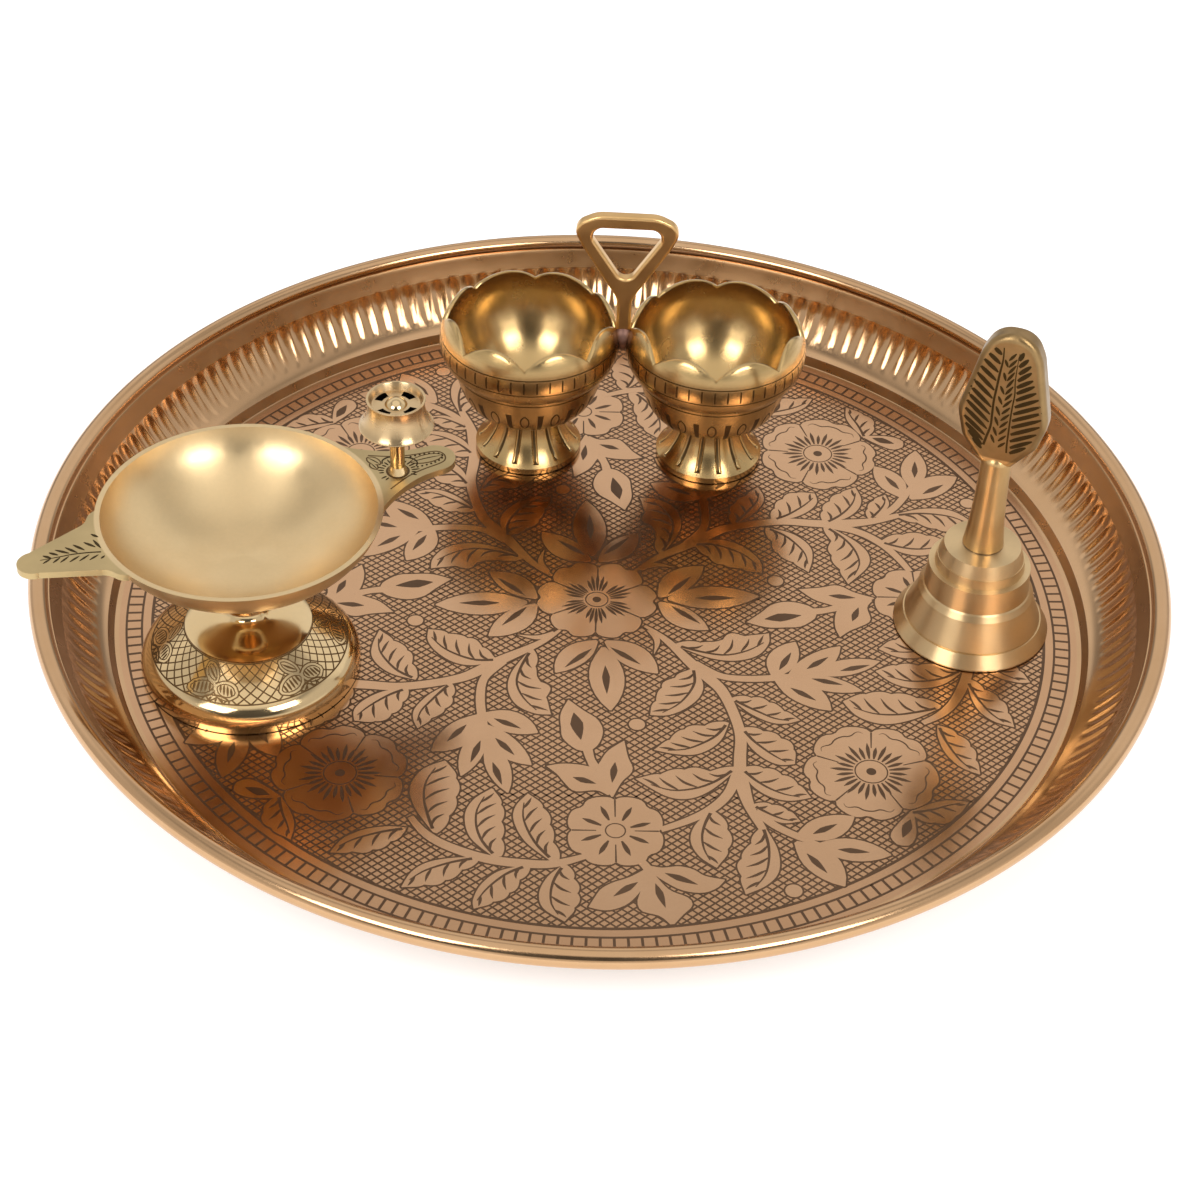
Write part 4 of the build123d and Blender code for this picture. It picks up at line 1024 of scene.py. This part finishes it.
# Strokes of the bell's leaf as two ends each, and its two ribs
CARVED = (
    (-4.6, 91.4, -2.6, 89.8), (-5.8, 89.5, -2.6, 87.0), (-6.8, 87.5, -2.8, 84.4), (-7.4, 85.2, -3.0, 81.8),
    (-8.0, 83.0, -3.1, 78.8), (-8.6, 80.7, -3.2, 76.2), (-9.2, 78.5, -3.2, 73.5), (-9.5, 76.3, -3.2, 71.2),
    (-9.6, 74.1, -3.2, 68.8), (-9.7, 71.7, -3.4, 66.6), (-9.7, 69.3, -3.7, 64.6), (-9.1, 67.1, -4.0, 62.9),
    (1.9, 89.1, 2.8, 91.7), (2.2, 87.2, 4.2, 90.0), (2.4, 85.1, 5.1, 88.2), (2.4, 83.0, 5.5, 86.3),
    (2.4, 81.0, 6.2, 84.1), (2.6, 79.2, 6.8, 82.5), (2.7, 77.1, 7.5, 80.6), (2.7, 75.0, 8.4, 78.7),
    (2.6, 72.8, 9.1, 76.8), (2.6, 70.7, 9.7, 74.9), (2.7, 68.6, 9.9, 72.8), (2.8, 66.4, 9.8, 70.6),
    (2.9, 64.3, 9.3, 68.1), (3.2, 62.3, 8.5, 65.7), (3.3, 60.6, 7.2, 63.4),
    (-8.0, 65.0, -4.0, 61.4), (-6.6, 63.0, -4.0, 60.2),
)
CARVED_FINE = (
    (-1.6, 88.6, -0.6, 86.5), (-1.4, 84.7, -0.6, 82.3), (-1.7, 80.5, -0.5, 78.2), (-1.8, 77.3, -0.6, 75.0),
    (-2.0, 74.1, -0.7, 71.5), (-1.9, 70.9, -0.7, 68.3), (-1.9, 67.7, -0.7, 65.1), (-2.2, 65.2, -1.0, 62.8),
    (-0.6, 88.5, 1.0, 91.0), (-0.4, 86.5, 1.4, 89.3), (-0.3, 84.5, 1.4, 87.5), (-0.3, 82.4, 1.3, 85.4),
    (-0.2, 80.3, 1.4, 83.4), (-0.2, 78.2, 1.5, 81.1), (-0.1, 76.4, 1.5, 79.0), (-0.3, 74.2, 1.7, 77.0),
    (-0.3, 72.1, 1.6, 74.6), (-0.3, 70.0, 1.7, 72.5), (-0.3, 67.8, 1.6, 70.3), (-0.2, 65.7, 1.6, 68.2),
    (-0.1, 63.6, 1.7, 65.8), (0.1, 61.7, 1.8, 63.6),
)
MIDRIB = [(-2.3, 92.0), (-2.1, 88.2), (-2.4, 84.0), (-2.6, 79.7), (-2.8, 75.7), (-2.7, 71.8), (-2.6, 67.8),
          (-3.2, 64.4), (-3.7, 61.5)]
SIDE_RIB = [(1.8, 91.2), (1.7, 87.1), (1.8, 82.4), (2.2, 78.9), (2.1, 74.9), (2.1, 70.9), (2.2, 66.9),
            (2.3, 62.9), (2.5, 60.5)]


def make_bell_work():
    """Carved strokes on both faces of the bell's leaf."""
    lifted = cast(nodes["bell_handle"].data)
    c, s = math.cos(math.radians(LEAF_TURN)), math.sin(math.radians(LEAF_TURN))
    carved = Plates(-0.04, 0.03)
    for face in (1, -1):
        def front(u, v, h):
            x, y = face * u, -20.0 * face
            start = (BELL[0] + c * x - s * y, BELL[1] + s * x + c * y, STAND + v)
            return lifted(start, (-s * face, c * face, 0), h)

        for x0, z0, x1, z1 in CARVED:
            carved.strip(ribbon([(x0, z0), (x1, z1)], (0.7, 1.15, 1.25, 1.2, 1.0, 0.4), 9), front)
        for x0, z0, x1, z1 in CARVED_FINE:
            carved.strip(ribbon([(x0, z0), (x1, z1)], (0.25, 0.75, 0.8, 0.65, 0.25), 7), front)
        carved.strip(ribbon(MIDRIB, (0.3, 0.6, 0.6, 0.6, 0.7), 30), front)
        carved.strip(ribbon(SIDE_RIB, (0.15, 0.3, 0.4, 0.45, 0.5), 30), front)
    carved.build("handle_carved_leaf", carved_dark, "bell", "bell_brass")


make_foot_work()
make_dish_work()
for side, centre in CUPS.items():
    make_cup_work(side, centre)
make_bell_work()


# Finishes of the CAD pieces

LOOKS = {
    "diya_foot": lamp_brass, "diya_stem": lamp_brass, "diya_dish": dish_brass, "diya_stud": steel,
    "diya_washer": steel, "diya_nut": steel, "incense_post": lamp_brass, "incense_head": lamp_brass,
    "loop_handle": loop_brass, "braze_fillet": braze, "bell_body": bell_brass, "bell_handle": leaf_brass,
    "clapper_hanger": bell_brass, "clapper_rod": bell_brass, "clapper_ball": bell_brass,
}
for side in CUPS:
    for part in ("foot", "bowl", "rivet"):
        LOOKS[f"{side}_cup_{part}"] = cup_brass[side]
for node, material in LOOKS.items():
    mesh = nodes[node].data
    mesh.materials.clear()
    mesh.materials.append(material)


# Camera, floor and light

def make_camera():
    data = bpy.data.cameras.new("camera")
    data.lens, data.sensor_width = 74.76, 36.0
    data.clip_start, data.clip_end = 0.05, 50.0
    camera = bpy.data.objects.new("camera", data)
    place, aim = Vector((0.0, -0.525709, 0.444277)), Vector((0.000082, -0.000332, 0.001))
    camera.rotation_mode = "QUATERNION"
    camera.location = place
    roll = Quaternion((0, 0, 1), math.radians(2.292))
    camera.rotation_quaternion = (aim - place).to_track_quat("-Z", "Y") @ roll
    bpy.context.scene.collection.objects.link(camera)
    bpy.context.scene.camera = camera


def make_stage():
    mesh = bpy.data.meshes.new("studio_floor")
    # It lies just below the tray's underside
    size, height = 6.0, -5e-5
    corners = ((-size, -size), (size, -size), (size, size), (-size, size))
    mesh.from_pydata([(x, y, height) for x, y in corners], [], [(0, 1, 2, 3)])
    material, tree, shader = new_material("studio_white")
    shader.inputs["Base Color"].default_value = (0.7, 0.7, 0.7, 1)
    shader.inputs["Roughness"].default_value = 1.0
    shader.inputs["Specular IOR Level"].default_value = 0.0
    path = tree.nodes.new("ShaderNodeLightPath")
    mirrored = math_node(tree, "MAXIMUM", path.outputs["Is Glossy Ray"], path.outputs["Is Transmission Ray"])
    seen = math_node(tree, "MAXIMUM", path.outputs["Is Camera Ray"], mirrored)
    shader.inputs["Emission Color"].default_value = (1, 1, 1, 1)
    tree.links.new(math_node(tree, "MULTIPLY", seen, 0.55), shader.inputs["Emission Strength"])
    mesh.materials.append(material)
    floor = bpy.data.objects.new("studio_floor", mesh)
    bpy.context.scene.collection.objects.link(floor)


def eased(tree, value, start, end, low, high):
    return ranged(tree, value, low, high, start, end, "SMOOTHSTEP")


def make_world():
    world = bpy.data.worlds.new("studio")
    bpy.context.scene.world = world
    world.use_nodes = True
    tree = world.node_tree
    parts = tree.nodes.new("ShaderNodeSeparateXYZ")
    tree.links.new(tree.nodes.new("ShaderNodeTexCoord").outputs["Generated"], parts.inputs[0])
    behind = eased(tree, parts.outputs[1], -0.15, 0.4, 0.1, 1.0)
    behind = math_node(tree, "MULTIPLY", behind, eased(tree, parts.outputs[2], 0.69, 0.77, 1.0, 0.6))
    behind = math_node(tree, "MULTIPLY", behind, eased(tree, parts.outputs[2], 0.15, 0.42, 0.3, 1.0))
    sides = eased(tree, math_node(tree, "ABSOLUTE", parts.outputs[0]), 0.4, 0.75, 0.0, 0.75)
    behind = math_node(tree, "MAXIMUM", behind, sides)
    above = eased(tree, parts.outputs[2], 0.76, 0.92, 0.0, 1.06)
    horizon = eased(tree, parts.outputs[2], 0.2, 0.4, 1.0, 0.0)
    horizon = math_node(tree, "MULTIPLY", horizon, eased(tree, parts.outputs[1], -0.3, 0.3, 1.0, 0.35))
    tone = math_node(tree, "MAXIMUM", math_node(tree, "MAXIMUM", behind, above), horizon)
    join = tree.nodes.new("ShaderNodeCombineColor")
    for socket in join.inputs[:3]:
        tree.links.new(tone, socket)
    tree.links.new(join.outputs[0], tree.nodes["Background"].inputs["Color"])


def softbox(name, place, aim, width, depth, watts):
    data = bpy.data.lights.new(name, "AREA")
    data.shape, data.size, data.size_y, data.energy = "RECTANGLE", width, depth, watts
    lamp = bpy.data.objects.new(name, data)
    lamp.location = place
    lamp.rotation_mode = "QUATERNION"
    lamp.rotation_quaternion = (Vector(aim) - Vector(place)).to_track_quat("-Z", "Y")
    bpy.context.scene.collection.objects.link(lamp)


make_camera()
make_stage()
make_world()
for name, x in (("front_left", -0.62), ("front_right", 0.62)):
    softbox(name, (x, -0.78, 1.02), (0, 0, 0.03), 0.56, 0.5, 8.0)

bpy.context.scene.view_settings.view_transform = "Standard"
